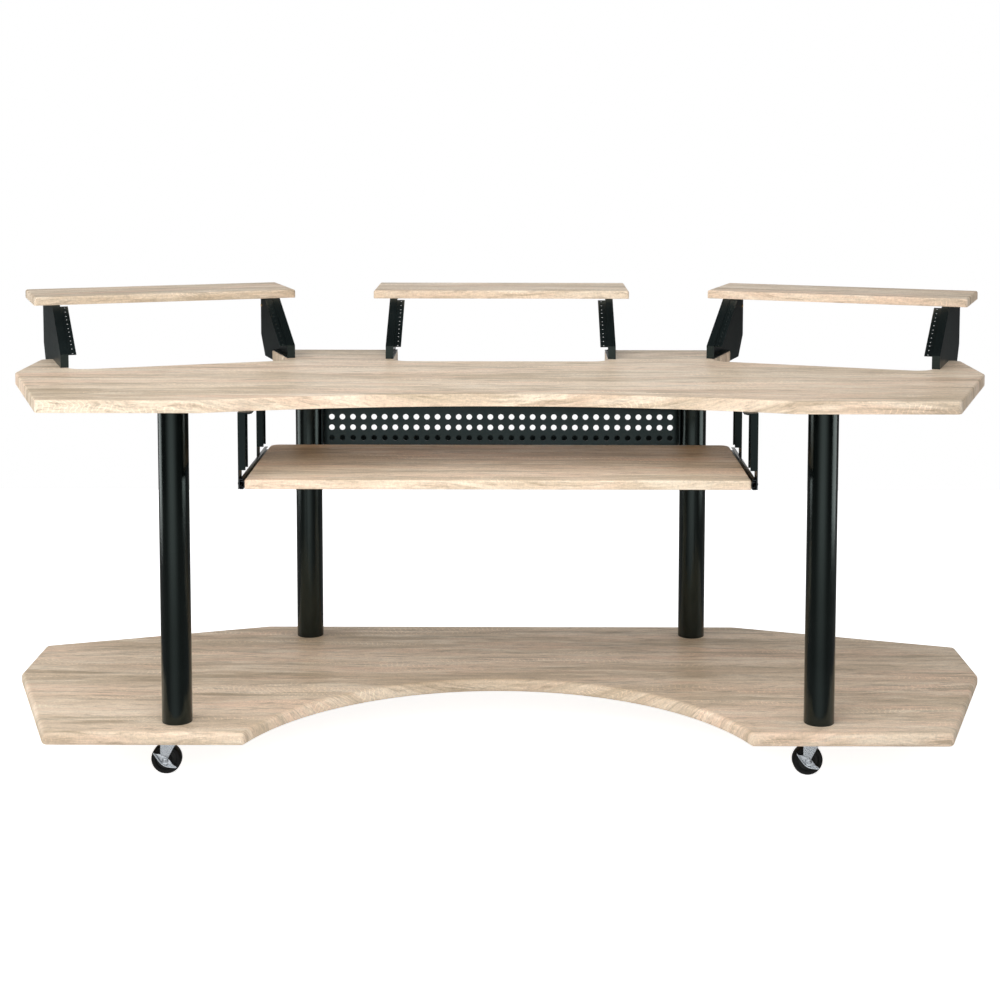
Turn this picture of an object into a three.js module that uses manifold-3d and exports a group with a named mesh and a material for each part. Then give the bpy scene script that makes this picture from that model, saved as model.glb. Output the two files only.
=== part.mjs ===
// Studio desk on casters, in millimetres: X across, +Y to the back, +Z up.
// Two large boards stand one above the other on four round legs. Three slanted rack units with
// raised shelves stand on the upper board, the outer two turned towards the user. A tray for a
// keyboard slides out under the upper board, and a perforated cable tray joins the rear legs.
//
// Places on the plan are taken from the middle of the straight front edge. The finished desk is
// moved at the end, so that its origin lies on the floor under the middle of its bounding box.

import * as THREE from "three";
import { mergeVertices } from "three/addons/utils/BufferGeometryUtils.js";
import Module from "manifold-3d";

const wasm = await Module();
wasm.setup();

// Fits shared by all pieces
const fitGap = 0.3; // between pieces that are pushed together
const runGap = 0.5; // between pieces that slide or turn
const cutOver = 5; // how far a cutting body passes the surface it cuts

// Rack units: sheet steel brackets and rails, which take equipment of the standard rack width
const rackOpening = 450;
const railHoleInset = 7.55; // rail's inner edge to the middle of its holes
const bracketInset = 34.5; // rail's inner edge to the bracket's outer face
const rackHoleSpacing = rackOpening + 2 * railHoleInset;
const bracketWidth = rackOpening + 2 * bracketInset; // across the outer faces of one pair
const rackUnitHeight = 44.45;
const rackUnits = 4;
const rackSlope = THREE.MathUtils.degToRad(31.5); // of the rails, above the desktop
const rackHoleRadius = 3.4;
const rackHoleShares = [1 / 7, 1 / 2, 6 / 7]; // of one unit's height
const bracketSheet = 2;
const bracketFlange = 17.3;
const bracketFootHeight = 29;
const bracketLength = 352;
const bracketRearLow = 17; // lower end of the upright rear edge, above the desktop
const bracketHookDrop = 32; // lowest edge, under the desktop's upper face
const bracketHookLength = 44; // upright rear edge to the front of the lowest edge
const bracketHookGap = 2; // behind the desktop's rear edge
const bracketFootOverrun = 14; // desktop's rear edge to the end of the foot flange
const railSheet = 2;
const railWeb = 25;
const railTrim = 3.8; // a rail is this much shorter than its rack units

// Shelves on the rack units
const shelfOverhang = 38.5; // past the bracket at each end
const shelfWidth = bracketWidth + 2 * shelfOverhang;
const shelfDepth = 212;
const shelfThickness = 19;
const shelfEdgeRadius = 5;
const shelfCornerRadius = 6;
const shelfSetback = 2; // behind the top of the slanted rails

// Plan outline that the base board and the desktop share, which spans the three rack units
const wingTurn = THREE.MathUtils.degToRad(20); // outer rack units and outer front edges
const wingRackSpace = 190.3; // between the feet of the centre unit and of a wing unit, at its middle
const wingSideSpace = 64.2; // wing unit's half width to the desk's end
const wingRackX = bracketWidth + wingRackSpace;
const halfWidth = wingRackX + bracketWidth / 2 + wingSideSpace;
const frontCornerInset = 142.5;
const frontCornerX = halfWidth - frontCornerInset;
const planCornerRadius = 12;

// Base board
const baseThickness = 28;
const baseEdgeRadius = 9;
const baseDepth = 768;
const baseSideInset = 166; // rear end of the outer side edge to the rear edge
const baseSideDepth = baseDepth - baseSideInset;
const baseRearInset = 487;
const baseRearX = halfWidth - baseRearInset;
const baseBayInset = 538;
const baseBayHalfWidth = halfWidth - baseBayInset;
const baseBayShortfall = 147; // the bay is less deep than half its width by this
const baseBayDepth = baseBayHalfWidth - baseBayShortfall;

// Desktop
const desktopThickness = 25;
const desktopEdgeRadius = 4;
const desktopOverhang = 26; // behind the base board
const desktopDepth = baseDepth + desktopOverhang;
const desktopSideOverhang = 3;
const desktopSideDepth = baseSideDepth + desktopSideOverhang;
const desktopCurveInset = 315.5; // front corner to the end of the shallow curve
const desktopCurveHalfWidth = frontCornerX - desktopCurveInset;
const desktopCurveDepth = 93;
const recessSetback = 35; // rack feet to the front edge of the recess behind them
const recessRadius = 40;
const recessLipRadius = 10;
const centreRackInset = 169; // rack feet to the desktop's rear edge
const centreRackY = desktopDepth - centreRackInset;
const wingRackInset = 243.1;
const wingRackY = desktopDepth - wingRackInset;

// Legs
const legDiameter = 60;
const legWall = 2;
const legSpace = 629; // base board to desktop
const frontLegInset = 395.5;
const frontLegX = halfWidth - frontLegInset;
const frontLegY = 69.6;
const rearLegInset = 104.5; // from the end of the base board's rear edge
const rearLegX = baseRearX - rearLegInset;
const rearLegSetback = 75.6; // base board's rear edge to the leg's middle
const rearLegY = baseDepth - rearLegSetback;
const legPlateDiameter = 80;
const legPlateThickness = 4;
const legSpigotLength = 12;
const legPlugLength = 15;

// Keyboard tray, its slides and its hangers
const trayLegSpace = 147; // tray's end to the front leg's middle
const trayWidth = 2 * (frontLegX - trayLegSpace);
const trayDepth = 395;
const trayThickness = 18;
const trayEdgeRadius = 4;
const trayRearRadius = 20;
const trayFrontRadius = 6;
const traySetback = 8;
const trayDrop = 131; // desktop's underside to the tray's upper face
const slideLength = 360;
const slideHeight = 20;
const slideWidth = 10;
const slideSheet = 1.2;
const slideSetback = 2; // behind the tray's front edge
const slideInnerHeight = 12;
const slideInnerWidth = 7;
const slideInnerLength = 350;
const slideTravel = 250;
const cageSheet = 0.8;
const cageWidth = 6.4;
const hangerSheet = 2;
const hangerDepth = 36;
const hangerFace = 14.4;
const hangerTopWidth = 27;
const hangerTopThickness = 3;
const hangerTopRadius = 6;
const hangerFaceRise = 18; // tray's upper face to the lower end of the hanger's channel
const frontHangerY = 11.6;
const rearHangerY = 268.6;

// Cable tray between the rear legs
const cableSheet = 2;
const cableFrontHeight = 110;
const cableFrontDrop = 90.3; // under the desktop
const cableTrayDepth = 82;
const cableLipHeight = 29;
const cableFlange = 35;
const cableHolePitch = 24.4;
const cableHoleMargin = 20; // tray's end to the first hole's middle, at least
const cableHoleRows = 3;
const cableHoleRadius = 6.5;
const cableWallSetback = 19.6; // rear legs' middle to the rear face of the perforated wall
const cableWallY = rearLegY + cableWallSetback;

// Casters
const casterHeight = 77;
const casterTrail = 22;
const wheelRadius = 30;
const wheelWidth = 22;
const wheelShoulder = 3;
const wheelRimWidth = 8;
const wheelDish = 2.5;
const hubRadius = 10;
const hubWidth = 25.6;
const axleRadius = 4;
const axleHeadRadius = 6.5;
const axleHeadLength = 4.5;
const forkSheet = 2.5;
const forkTopRadius = 16;
const forkRearX = -36; // rear edge of the fork, from the swivel axis
const forkFrontX = 5; // front edge of the side plates at the top
const forkEyeRadius = 9;
const forkKneeDrop = 27; // top of the side plates to the lower end of their rear edge
const forkEyeStart = THREE.MathUtils.degToRad(-171);
const forkEyeEnd = THREE.MathUtils.degToRad(-18);
const stemRadius = 5;
const stemReach = 13; // into the leg's plug
const stemHeadRadius = 8;
const stemHeadLength = 2.7;
const racewayRadius = 15;
const racewayLength = 5.7;
const stemFlangeRadius = 20;
const stemFlangeLength = 3;
const leverSheet = 2.5;
const leverEyeRadius = 8;
const leverHeelReach = 29;
const leverHeelAngle = THREE.MathUtils.degToRad(159);
const leverToeReach = 26.5;
const leverToeAngle = THREE.MathUtils.degToRad(-47);
const leverTipRadius = 2.5;
const leverArmHalfWidth = 5;
const leverBowRadius = 44.4;
const leverRimThickness = 1.8;
const leverRimLip = 2;
const leverLip = 5;

// Facets of round forms
const arcStep = THREE.MathUtils.degToRad(15);
const bayCurveSteps = 24;
const desktopCurveSteps = 18;
const edgeSteps = 2;
const turnedSides = 24;
const fittingSides = 12;
const smallHoleSides = 6;
const cableHoleSides = 8;

// Heights above the floor that several pieces share
const baseTop = casterHeight + baseThickness;
const desktopUnderside = baseTop + legSpace;
const desktopTop = desktopUnderside + desktopThickness;
const rackLength = rackUnits * rackUnitHeight;
const rackRise = rackLength * Math.sin(rackSlope);
const rackRun = rackLength * Math.cos(rackSlope);
const bracketTop = bracketFootHeight + rackRise;
const trayTop = desktopUnderside - trayDrop;
const trayUnderside = trayTop - trayThickness;
const slideMiddle = (trayTop + trayUnderside) / 2;
const halfTray = trayWidth / 2;
const recessHalfWidth = bracketWidth / 2 - bracketFlange;
const axleHeight = wheelRadius;

const oak = new THREE.MeshStandardMaterial({ color: 0xcdb79c, roughness: 0.55, metalness: 0 });
const powderCoat = new THREE.MeshStandardMaterial({ color: 0x1a1d1f, roughness: 0.5, metalness: 0.1 });
const zinc = new THREE.MeshStandardMaterial({ color: 0xb9bec2, roughness: 0.35, metalness: 0.9 });
const blackPlastic = new THREE.MeshStandardMaterial({ color: 0x111212, roughness: 0.6, metalness: 0 });

const desk = new THREE.Group();

// Solids that are joined or cut

function toSolid(geometry) {
  const plain = geometry.clone();
  plain.deleteAttribute("normal");
  plain.deleteAttribute("uv");
  const merged = mergeVertices(plain);
  const corners = merged.index.array;
  const kept = [];
  for (let i = 0; i < corners.length; i += 3) {
    const [a, b, c] = [corners[i], corners[i + 1], corners[i + 2]];
    if (a !== b && b !== c && c !== a) {
      kept.push(a, b, c);
    }
  }
  return new wasm.Manifold(new wasm.Mesh({
    numProp: 3,
    vertProperties: new Float32Array(merged.attributes.position.array),
    triVerts: new Uint32Array(kept),
  }));
}

function toGeometry(solid) {
  const mesh = solid.getMesh();
  const geometry = new THREE.BufferGeometry();
  geometry.setAttribute("position", new THREE.BufferAttribute(new Float32Array(mesh.vertProperties), 3));
  geometry.setIndex(new THREE.BufferAttribute(new Uint32Array(mesh.triVerts), 1));
  geometry.computeVertexNormals();
  return geometry;
}

function joined(geometries) {
  return geometries.map(toSolid).reduce((whole, next) => whole.add(next));
}

function addPiece(parent, name, shape, material) {
  const geometry = shape.isBufferGeometry ? shape : toGeometry(shape);
  const mesh = new THREE.Mesh(geometry, material);
  mesh.name = name;
  parent.add(mesh);
  return mesh;
}

// Basic forms

function block(xs, ys, zs) {
  const [x0, x1] = [Math.min(...xs), Math.max(...xs)];
  const [y0, y1] = [Math.min(...ys), Math.max(...ys)];
  const [z0, z1] = [Math.min(...zs), Math.max(...zs)];
  const box = new THREE.BoxGeometry(x1 - x0, y1 - y0, z1 - z0);
  return box.translate((x0 + x1) / 2, (y0 + y1) / 2, (z0 + z1) / 2);
}

function prism(outline, z0, z1) {
  const shape = new THREE.Shape(outline);
  const geometry = new THREE.ExtrudeGeometry(shape, { depth: z1 - z0, bevelEnabled: false });
  return geometry.translate(0, 0, z0);
}

// An outline of (depth, height) points that runs from x0 to x1 across the desk.
function crossPrism(outline, x0, x1) {
  const across = new THREE.Matrix4().makeBasis(
    new THREE.Vector3(0, 1, 0),
    new THREE.Vector3(0, 0, 1),
    new THREE.Vector3(1, 0, 0),
  );
  return prism(outline, Math.min(x0, x1), Math.max(x0, x1)).applyMatrix4(across);
}

// An outline of (across, height) points that runs from y0 to y1 towards the back.
function depthPrism(outline, y0, y1) {
  return prism(outline, -y1, -y0).rotateX(Math.PI / 2);
}

// A turned piece on the Z axis, from (radius, height) points in rising order outside.
function turned(profile, sides) {
  const points = profile.map(([radius, height]) => new THREE.Vector2(radius, height));
  return new THREE.LatheGeometry(points, sides).rotateX(Math.PI / 2);
}

function rod(radius, z0, z1, sides = fittingSides) {
  const cylinder = new THREE.CylinderGeometry(radius, radius, z1 - z0, sides);
  return cylinder.rotateX(Math.PI / 2).translate(0, 0, (z0 + z1) / 2);
}

function point(x, y, radius = 0) {
  return { at: new THREE.Vector2(x, y), radius };
}

// An outline whose corners are rounded, each with its own radius.
function roundedOutline(corners) {
  const outline = [];
  corners.forEach(({ at, radius }, i) => {
    if (radius === 0) {
      outline.push(at);
      return;
    }
    const before = corners[(i + corners.length - 1) % corners.length].at;
    const after = corners[(i + 1) % corners.length].at;
    const toBefore = before.clone().sub(at).normalize();
    const toAfter = after.clone().sub(at).normalize();
    const halfAngle = Math.acos(toBefore.dot(toAfter)) / 2;
    const middle = toBefore.clone().add(toAfter).normalize();
    const centre = at.clone().addScaledVector(middle, radius / Math.sin(halfAngle));
    const first = at.clone().addScaledVector(toBefore, radius / Math.tan(halfAngle)).sub(centre);
    const turn = (Math.PI - 2 * halfAngle) * -Math.sign(toBefore.cross(toAfter));
    const steps = Math.ceil(Math.abs(turn) / arcStep);
    for (let k = 0; k <= steps; k += 1) {
      const spoke = first.clone().rotateAround(new THREE.Vector2(), (turn * k) / steps);
      outline.push(spoke.add(centre));
    }
  });
  return outline;
}

// The inner points of a curve that is hollow towards the front, from left to right.
function frontCurve(curveHalfWidth, curveDepth, steps) {
  const radius = (curveHalfWidth ** 2 + curveDepth ** 2) / (2 * curveDepth);
  const halfAngle = Math.asin(curveHalfWidth / radius);
  const reach = curveDepth > curveHalfWidth ? Math.PI - halfAngle : halfAngle;
  const points = [];
  for (let k = 1; k < steps; k += 1) {
    const angle = reach * ((2 * k) / steps - 1);
    points.push(point(radius * Math.sin(angle), curveDepth - radius + radius * Math.cos(angle)));
  }
  return points;
}

// A pressed board: an outline whose upper and lower edges are rounded, or sharp at radius zero.
function board(outline, underside, thickness, upperRadius, lowerRadius) {
  const radius = Math.max(upperRadius, lowerRadius);
  const shape = new THREE.Shape(outline);
  const geometry = new THREE.ExtrudeGeometry(shape, {
    depth: thickness - radius - lowerRadius,
    bevelEnabled: true,
    bevelThickness: radius,
    bevelSize: radius,
    bevelOffset: -radius,
    bevelSegments: edgeSteps,
  });
  const solid = toSolid(geometry.translate(0, 0, underside + lowerRadius));
  if (lowerRadius > 0) {
    return solid;
  }
  const span = [-2 * halfWidth, 2 * halfWidth];
  return solid.subtract(toSolid(block(span, span, [underside - radius - cutOver, underside])));
}

// Base board and desktop

function sideCorners(sideDepth) {
  const sideFront = (halfWidth - frontCornerX) / Math.tan(wingTurn);
  return [
    point(frontCornerX, 0, planCornerRadius),
    point(halfWidth, sideFront, planCornerRadius),
    point(halfWidth, sideDepth, planCornerRadius),
  ];
}

function mirroredCorners(corners) {
  return corners.map(({ at, radius }) => point(-at.x, at.y, radius)).reverse();
}

const legPlaces = [
  ["front_left", -frontLegX, frontLegY],
  ["front_right", frontLegX, frontLegY],
  ["rear_left", -rearLegX, rearLegY],
  ["rear_right", rearLegX, rearLegY],
];

function addBaseBoard() {
  const right = [...sideCorners(baseSideDepth), point(baseRearX, baseDepth, planCornerRadius)];
  const outline = roundedOutline([
    point(-baseBayHalfWidth, 0, planCornerRadius),
    ...frontCurve(baseBayHalfWidth, baseBayDepth, bayCurveSteps),
    point(baseBayHalfWidth, 0, planCornerRadius),
    ...right,
    ...mirroredCorners(right),
  ]);
  let solid = board(outline, casterHeight, baseThickness, baseEdgeRadius, baseEdgeRadius);
  for (const [, x, y] of legPlaces) {
    const hole = rod(stemRadius + fitGap, casterHeight - cutOver, baseTop + cutOver);
    solid = solid.subtract(toSolid(hole.translate(x, y, 0)));
  }
  addPiece(desk, "base_board", solid, oak);
}

// A point of the right-hand rack unit, given across and behind the middle of its feet.
function onWing(across, behind) {
  return new THREE.Vector2(
    wingRackX + across * Math.cos(wingTurn) + behind * Math.sin(wingTurn),
    wingRackY - across * Math.sin(wingTurn) + behind * Math.cos(wingTurn),
  );
}

function addDesktop() {
  const outerSide = onWing(recessHalfWidth, 0);
  const sideEnd = new THREE.Vector2(halfWidth, desktopSideDepth);
  const wingBack = new THREE.Vector2(Math.sin(wingTurn), Math.cos(wingTurn));
  const outerLip = onWing(recessHalfWidth, sideEnd.sub(outerSide).dot(wingBack));
  const innerSide = onWing(-recessHalfWidth, 0);
  const innerReach = (desktopDepth - innerSide.y) / Math.cos(wingTurn);
  const innerLip = onWing(-recessHalfWidth, innerReach);
  const outerCorner = onWing(recessHalfWidth, -recessSetback);
  const innerCorner = onWing(-recessHalfWidth, -recessSetback);
  const right = [
    ...sideCorners(desktopSideDepth),
    point(outerLip.x, outerLip.y, recessLipRadius),
    point(outerCorner.x, outerCorner.y, recessRadius),
    point(innerCorner.x, innerCorner.y, recessRadius),
    point(innerLip.x, innerLip.y, recessLipRadius),
    point(recessHalfWidth, desktopDepth, recessLipRadius),
    point(recessHalfWidth, centreRackY - recessSetback, recessRadius),
  ];
  const outline = roundedOutline([
    point(-desktopCurveHalfWidth, 0),
    ...frontCurve(desktopCurveHalfWidth, desktopCurveDepth, desktopCurveSteps),
    point(desktopCurveHalfWidth, 0),
    ...right,
    ...mirroredCorners(right),
  ]);
  const solid = board(outline, desktopUnderside, desktopThickness, desktopEdgeRadius, 0);
  addPiece(desk, "desktop", solid, oak);
}

// Legs, each with a flanged plate at the top and a threaded plug at the bottom

function addLegs() {
  const radius = legDiameter / 2;
  const bore = radius - legWall;
  const insert = bore - runGap;
  const top = desktopUnderside - legPlateThickness;
  for (const [place, x, y] of legPlaces) {
    const tube = turned([
      [bore, baseTop],
      [radius, baseTop],
      [radius, top],
      [bore, top],
      [bore, baseTop],
    ], turnedSides);
    addPiece(desk, `leg_${place}`, tube, powderCoat).position.set(x, y, 0);
    const plate = turned([
      [0, top - legSpigotLength],
      [insert, top - legSpigotLength],
      [insert, top],
      [legPlateDiameter / 2, top],
      [legPlateDiameter / 2, desktopUnderside],
      [0, desktopUnderside],
    ], fittingSides);
    addPiece(desk, `leg_plate_${place}`, plate, powderCoat).position.set(x, y, 0);
    const thread = stemRadius + fitGap;
    const plug = turned([
      [thread, baseTop],
      [insert, baseTop],
      [insert, baseTop + legPlugLength],
      [thread, baseTop + legPlugLength],
      [thread, baseTop],
    ], fittingSides);
    addPiece(desk, `leg_plug_${place}`, plug, zinc).position.set(x, y, 0);
  }
}

// Rack units: bracket and rail on each side, and the shelf on top

function bracket(side) {
  const rise = Math.tan(rackSlope);
  const footEnd = desktopDepth - centreRackY + bracketHookGap;
  const outline = [
    [0, 0],
    [footEnd, 0],
    [footEnd, -bracketHookDrop],
    [bracketLength - bracketHookLength, -bracketHookDrop],
    [bracketLength, bracketRearLow],
    [bracketLength, bracketTop],
    [rackRun, bracketTop],
    [0, bracketFootHeight],
  ];
  const insideTop = bracketTop - bracketSheet;
  const slantDrop = bracketSheet / Math.cos(rackSlope);
  const slantStart = bracketFootHeight + rise * bracketSheet - slantDrop;
  const slantEnd = (insideTop - bracketFootHeight + slantDrop) / rise;
  const flangeEnd = footEnd - bracketFootOverrun;
  const hollow = [
    [bracketSheet, bracketSheet],
    [flangeEnd, bracketSheet],
    [flangeEnd, -bracketHookDrop - cutOver],
    [bracketLength + cutOver, -bracketHookDrop - cutOver],
    [bracketLength + cutOver, insideTop],
    [slantEnd, insideTop],
    [bracketSheet, slantStart],
  ];
  const toVectors = (points) => points.map(([behind, above]) => new THREE.Vector2(behind, above));
  const outer = side * (bracketWidth / 2);
  const inner = side * (bracketWidth / 2 - bracketFlange);
  const web = side * (bracketWidth / 2 - bracketSheet);
  const body = toSolid(crossPrism(toVectors(outline), inner, outer));
  return body.subtract(toSolid(crossPrism(toVectors(hollow), inner - side * cutOver, web)));
}

// A rail lies behind the slanted flange of its bracket. It is made lying flat, with its lower
// end at the front, and then tilted about the front edge of the slope.
function rail(side) {
  const start = railTrim / 2;
  const end = rackLength - railTrim / 2;
  const inner = side * (rackOpening / 2);
  const outer = side * (bracketWidth / 2 - bracketSheet - fitGap);
  const face = -bracketSheet - fitGap;
  const back = face - railSheet;
  let solid = joined([
    block([inner, outer], [start, end], [back, face]),
    block([outer - side * railSheet, outer], [start, end], [back - railWeb, face]),
  ]);
  for (let unit = 0; unit < rackUnits; unit += 1) {
    for (const share of rackHoleShares) {
      const hole = rod(rackHoleRadius, back - cutOver, face + cutOver, smallHoleSides);
      hole.translate(side * (rackHoleSpacing / 2), (unit + share) * rackUnitHeight, 0);
      solid = solid.subtract(toSolid(hole));
    }
  }
  return toGeometry(solid).rotateX(rackSlope).translate(0, 0, bracketFootHeight);
}

function addRackUnit(place, x, y, turn) {
  const unit = new THREE.Group();
  unit.position.set(x, y, desktopTop);
  unit.rotation.z = turn;
  desk.add(unit);
  for (const [hand, side] of [["left", -1], ["right", 1]]) {
    addPiece(unit, `bracket_${place}_${hand}`, bracket(side), powderCoat);
    addPiece(unit, `rack_rail_${place}_${hand}`, rail(side), powderCoat);
  }
  const front = rackRun + shelfSetback;
  const back = front + shelfDepth;
  const half = shelfWidth / 2;
  const outline = roundedOutline([
    point(-half, front, shelfCornerRadius),
    point(half, front, shelfCornerRadius),
    point(half, back, shelfCornerRadius),
    point(-half, back, shelfCornerRadius),
  ]);
  const shelf = board(outline, bracketTop, shelfThickness, shelfEdgeRadius, 0);
  addPiece(unit, `shelf_${place}`, shelf, oak);
}

// Keyboard tray with a two-part slide and two hangers on each side

function addKeyboardTray() {
  const front = traySetback;
  const back = traySetback + trayDepth;
  const outline = roundedOutline([
    point(-halfTray, front, trayFrontRadius),
    point(halfTray, front, trayFrontRadius),
    point(halfTray, back, trayRearRadius),
    point(-halfTray, back, trayRearRadius),
  ]);
  const solid = board(outline, trayUnderside, trayThickness, trayEdgeRadius, 0);
  addPiece(desk, "keyboard_tray", solid, oak);
}

// A channel along the tray, with its web at webX and its flanges reaching towards flangeX.
function channel(webX, flangeX, height, sheet, y0, y1) {
  const low = slideMiddle - height / 2;
  const high = slideMiddle + height / 2;
  const webInside = webX + Math.sign(flangeX - webX) * sheet;
  return joined([
    block([webX, webInside], [y0, y1], [low, high]),
    block([webX, flangeX], [y0, y1], [low, low + sheet]),
    block([webX, flangeX], [y0, y1], [high - sheet, high]),
  ]);
}

function addSlide(hand, side) {
  const start = traySetback + slideSetback;
  const outerWeb = side * (halfTray + slideWidth);
  const outerFlange = side * (halfTray + fitGap + slideSheet);
  const outer = channel(outerWeb, outerFlange, slideHeight, slideSheet, start, start + slideLength);
  addPiece(desk, `slide_outer_${hand}`, outer, powderCoat);

  const innerWeb = side * halfTray;
  const innerFlange = side * (halfTray + slideInnerWidth);
  const innerEnd = start + slideInnerLength;
  const inner = channel(innerWeb, innerFlange, slideInnerHeight, slideSheet, start, innerEnd);
  addPiece(desk, `slide_inner_${hand}`, inner, powderCoat);

  const cageWeb = side * (halfTray + slideWidth - slideSheet - runGap);
  const cageFlange = cageWeb - side * cageWidth;
  const cageHeight = slideHeight - 2 * slideSheet - 2 * runGap;
  const cageStart = start + slideTravel / 2;
  const cageEnd = start + slideInnerLength - slideTravel / 2;
  const cage = channel(cageWeb, cageFlange, cageHeight, cageSheet, cageStart, cageEnd);
  addPiece(desk, `slide_cage_${hand}`, cage, zinc);
}

function hanger(side, front) {
  const plate = side * (halfTray + slideWidth);
  const outside = plate + side * hangerSheet;
  const faceInside = outside - side * hangerFace;
  const back = front + hangerDepth;
  const faceLow = trayTop + hangerFaceRise;
  const topInside = outside - side * hangerTopWidth;
  const corners = [
    point(outside, front),
    point(topInside, front, hangerTopRadius),
    point(topInside, back, hangerTopRadius),
    point(outside, back),
  ];
  const outline = roundedOutline(side > 0 ? corners.reverse() : corners);
  return joined([
    block([plate, outside], [front, back], [slideMiddle - slideHeight / 2, desktopUnderside]),
    block([faceInside, outside], [front, front + hangerSheet], [faceLow, desktopUnderside]),
    block([faceInside, outside], [back - hangerSheet, back], [faceLow, desktopUnderside]),
    prism(outline, desktopUnderside - hangerTopThickness, desktopUnderside),
  ]);
}

function addTraySupports() {
  for (const [hand, side] of [["left", -1], ["right", 1]]) {
    addSlide(hand, side);
    addPiece(desk, `hanger_front_${hand}`, hanger(side, frontHangerY), powderCoat);
    addPiece(desk, `hanger_rear_${hand}`, hanger(side, rearHangerY), powderCoat);
  }
}

// Cable tray: one folded sheet with a tall perforated front wall, a floor and a low rear lip

function addCableTray() {
  const half = rearLegX - legDiameter / 2 - runGap;
  const top = desktopUnderside - cableFrontDrop;
  const low = top - cableFrontHeight;
  const back = cableWallY + cableTrayDepth - cableSheet;
  const wallFront = cableWallY - cableSheet;
  const flangeFront = cableWallY - cableFlange;
  const wall = new THREE.Shape([
    new THREE.Vector2(-half, low),
    new THREE.Vector2(half, low),
    new THREE.Vector2(half, top),
    new THREE.Vector2(-half, top),
  ]);
  const middle = (low + top) / 2;
  const columns = 1 + Math.floor((2 * (half - cableHoleMargin)) / cableHolePitch);
  for (let column = 0; column < columns; column += 1) {
    for (let row = 0; row < cableHoleRows; row += 1) {
      const x = (column - (columns - 1) / 2) * cableHolePitch;
      const z = middle + (row - (cableHoleRows - 1) / 2) * cableHolePitch;
      const hole = [];
      for (let k = 0; k < cableHoleSides; k += 1) {
        const angle = ((k + 0.5) / cableHoleSides) * 2 * Math.PI;
        const spoke = new THREE.Vector2(Math.cos(angle), -Math.sin(angle));
        hole.push(spoke.multiplyScalar(cableHoleRadius).add(new THREE.Vector2(x, z)));
      }
      wall.holes.push(new THREE.Path(hole));
    }
  }
  const settings = { depth: cableSheet, bevelEnabled: false };
  const front = new THREE.ExtrudeGeometry(wall, settings).rotateX(Math.PI / 2);
  const solid = joined([
    front.translate(0, cableWallY, 0),
    block([-half, half], [wallFront, back], [low, low + cableSheet]),
    block([-half, half], [back - cableSheet, back], [low, low + cableLipHeight]),
    block([-half, -half + cableSheet], [flangeFront, cableWallY], [low, top]),
    block([half - cableSheet, half], [flangeFront, cableWallY], [low, top]),
  ]);
  addPiece(desk, "cable_tray", solid, powderCoat);
}

// Casters, made about the swivel axis with the axle behind it at -X

const forkTop = casterHeight - stemFlangeLength - racewayLength - fitGap;
const forkTopUnderside = forkTop - forkSheet;
const forkInside = hubWidth / 2 + runGap;
const forkOutside = forkInside + forkSheet;
const leverInside = forkOutside + fitGap;
const leverOutside = leverInside + leverSheet;

function stem() {
  const head = forkTopUnderside - fitGap;
  return turned([
    [0, head - stemHeadLength],
    [stemHeadRadius, head - stemHeadLength],
    [stemHeadRadius, head],
    [stemRadius, head],
    [stemRadius, forkTop + fitGap],
    [racewayRadius, forkTop + fitGap],
    [racewayRadius, casterHeight - stemFlangeLength],
    [stemFlangeRadius, casterHeight - stemFlangeLength],
    [stemFlangeRadius, casterHeight],
    [stemRadius, casterHeight],
    [stemRadius, baseTop + stemReach],
    [0, baseTop + stemReach],
  ], fittingSides);
}

function arcPoints(x, y, radius, from, to) {
  const steps = Math.ceil(Math.abs(to - from) / (2 * arcStep));
  const points = [];
  for (let k = 0; k <= steps; k += 1) {
    const angle = from + ((to - from) * k) / steps;
    points.push(new THREE.Vector2(x + radius * Math.cos(angle), y + radius * Math.sin(angle)));
  }
  return points;
}

function fork() {
  const eyeX = -casterTrail;
  const kneeZ = forkTop - forkKneeDrop;
  const sidePlate = [
    new THREE.Vector2(forkRearX, forkTop),
    new THREE.Vector2(forkRearX, kneeZ),
    ...arcPoints(eyeX, axleHeight, forkEyeRadius, forkEyeStart, forkEyeEnd),
    new THREE.Vector2(forkFrontX, forkTop),
  ];
  const topPlate = [
    new THREE.Vector2(forkRearX, forkOutside),
    new THREE.Vector2(forkRearX, -forkOutside),
    ...arcPoints(0, 0, forkTopRadius, -Math.PI / 2, Math.PI / 2),
  ];
  const eye = rod(axleRadius + fitGap, -forkOutside - cutOver, forkOutside + cutOver);
  const swivelHole = rod(stemRadius + fitGap, forkTopUnderside - cutOver, forkTop + cutOver);
  const body = joined([
    prism(topPlate, forkTopUnderside, forkTop),
    depthPrism(sidePlate, -forkOutside, -forkInside),
    depthPrism(sidePlate, forkInside, forkOutside),
  ]);
  const drilled = body.subtract(toSolid(eye.rotateX(Math.PI / 2).translate(eyeX, 0, axleHeight)));
  return drilled.subtract(toSolid(swivelHole));
}

// The wheel's flats touch the floor, so its corners lie a little outside its radius.
function wheel() {
  const cornerScale = 1 / Math.cos(Math.PI / turnedSides);
  const tread = wheelRadius * cornerScale;
  const half = wheelWidth / 2;
  const bore = axleRadius + fitGap;
  const rimInside = wheelRadius - wheelRimWidth;
  const halfProfile = [
    [tread, half - wheelShoulder],
    [tread - wheelShoulder, half],
    [rimInside, half],
    [rimInside - wheelDish, half - wheelDish],
    [hubRadius, half - wheelDish],
    [hubRadius, hubWidth / 2],
    [bore, hubWidth / 2],
  ];
  const lowerHalf = halfProfile.map(([radius, along]) => [radius, -along]).reverse();
  const geometry = turned([...lowerHalf, ...halfProfile, lowerHalf[0]], turnedSides);
  return geometry.rotateZ(Math.PI / turnedSides).rotateX(Math.PI / 2);
}

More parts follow.
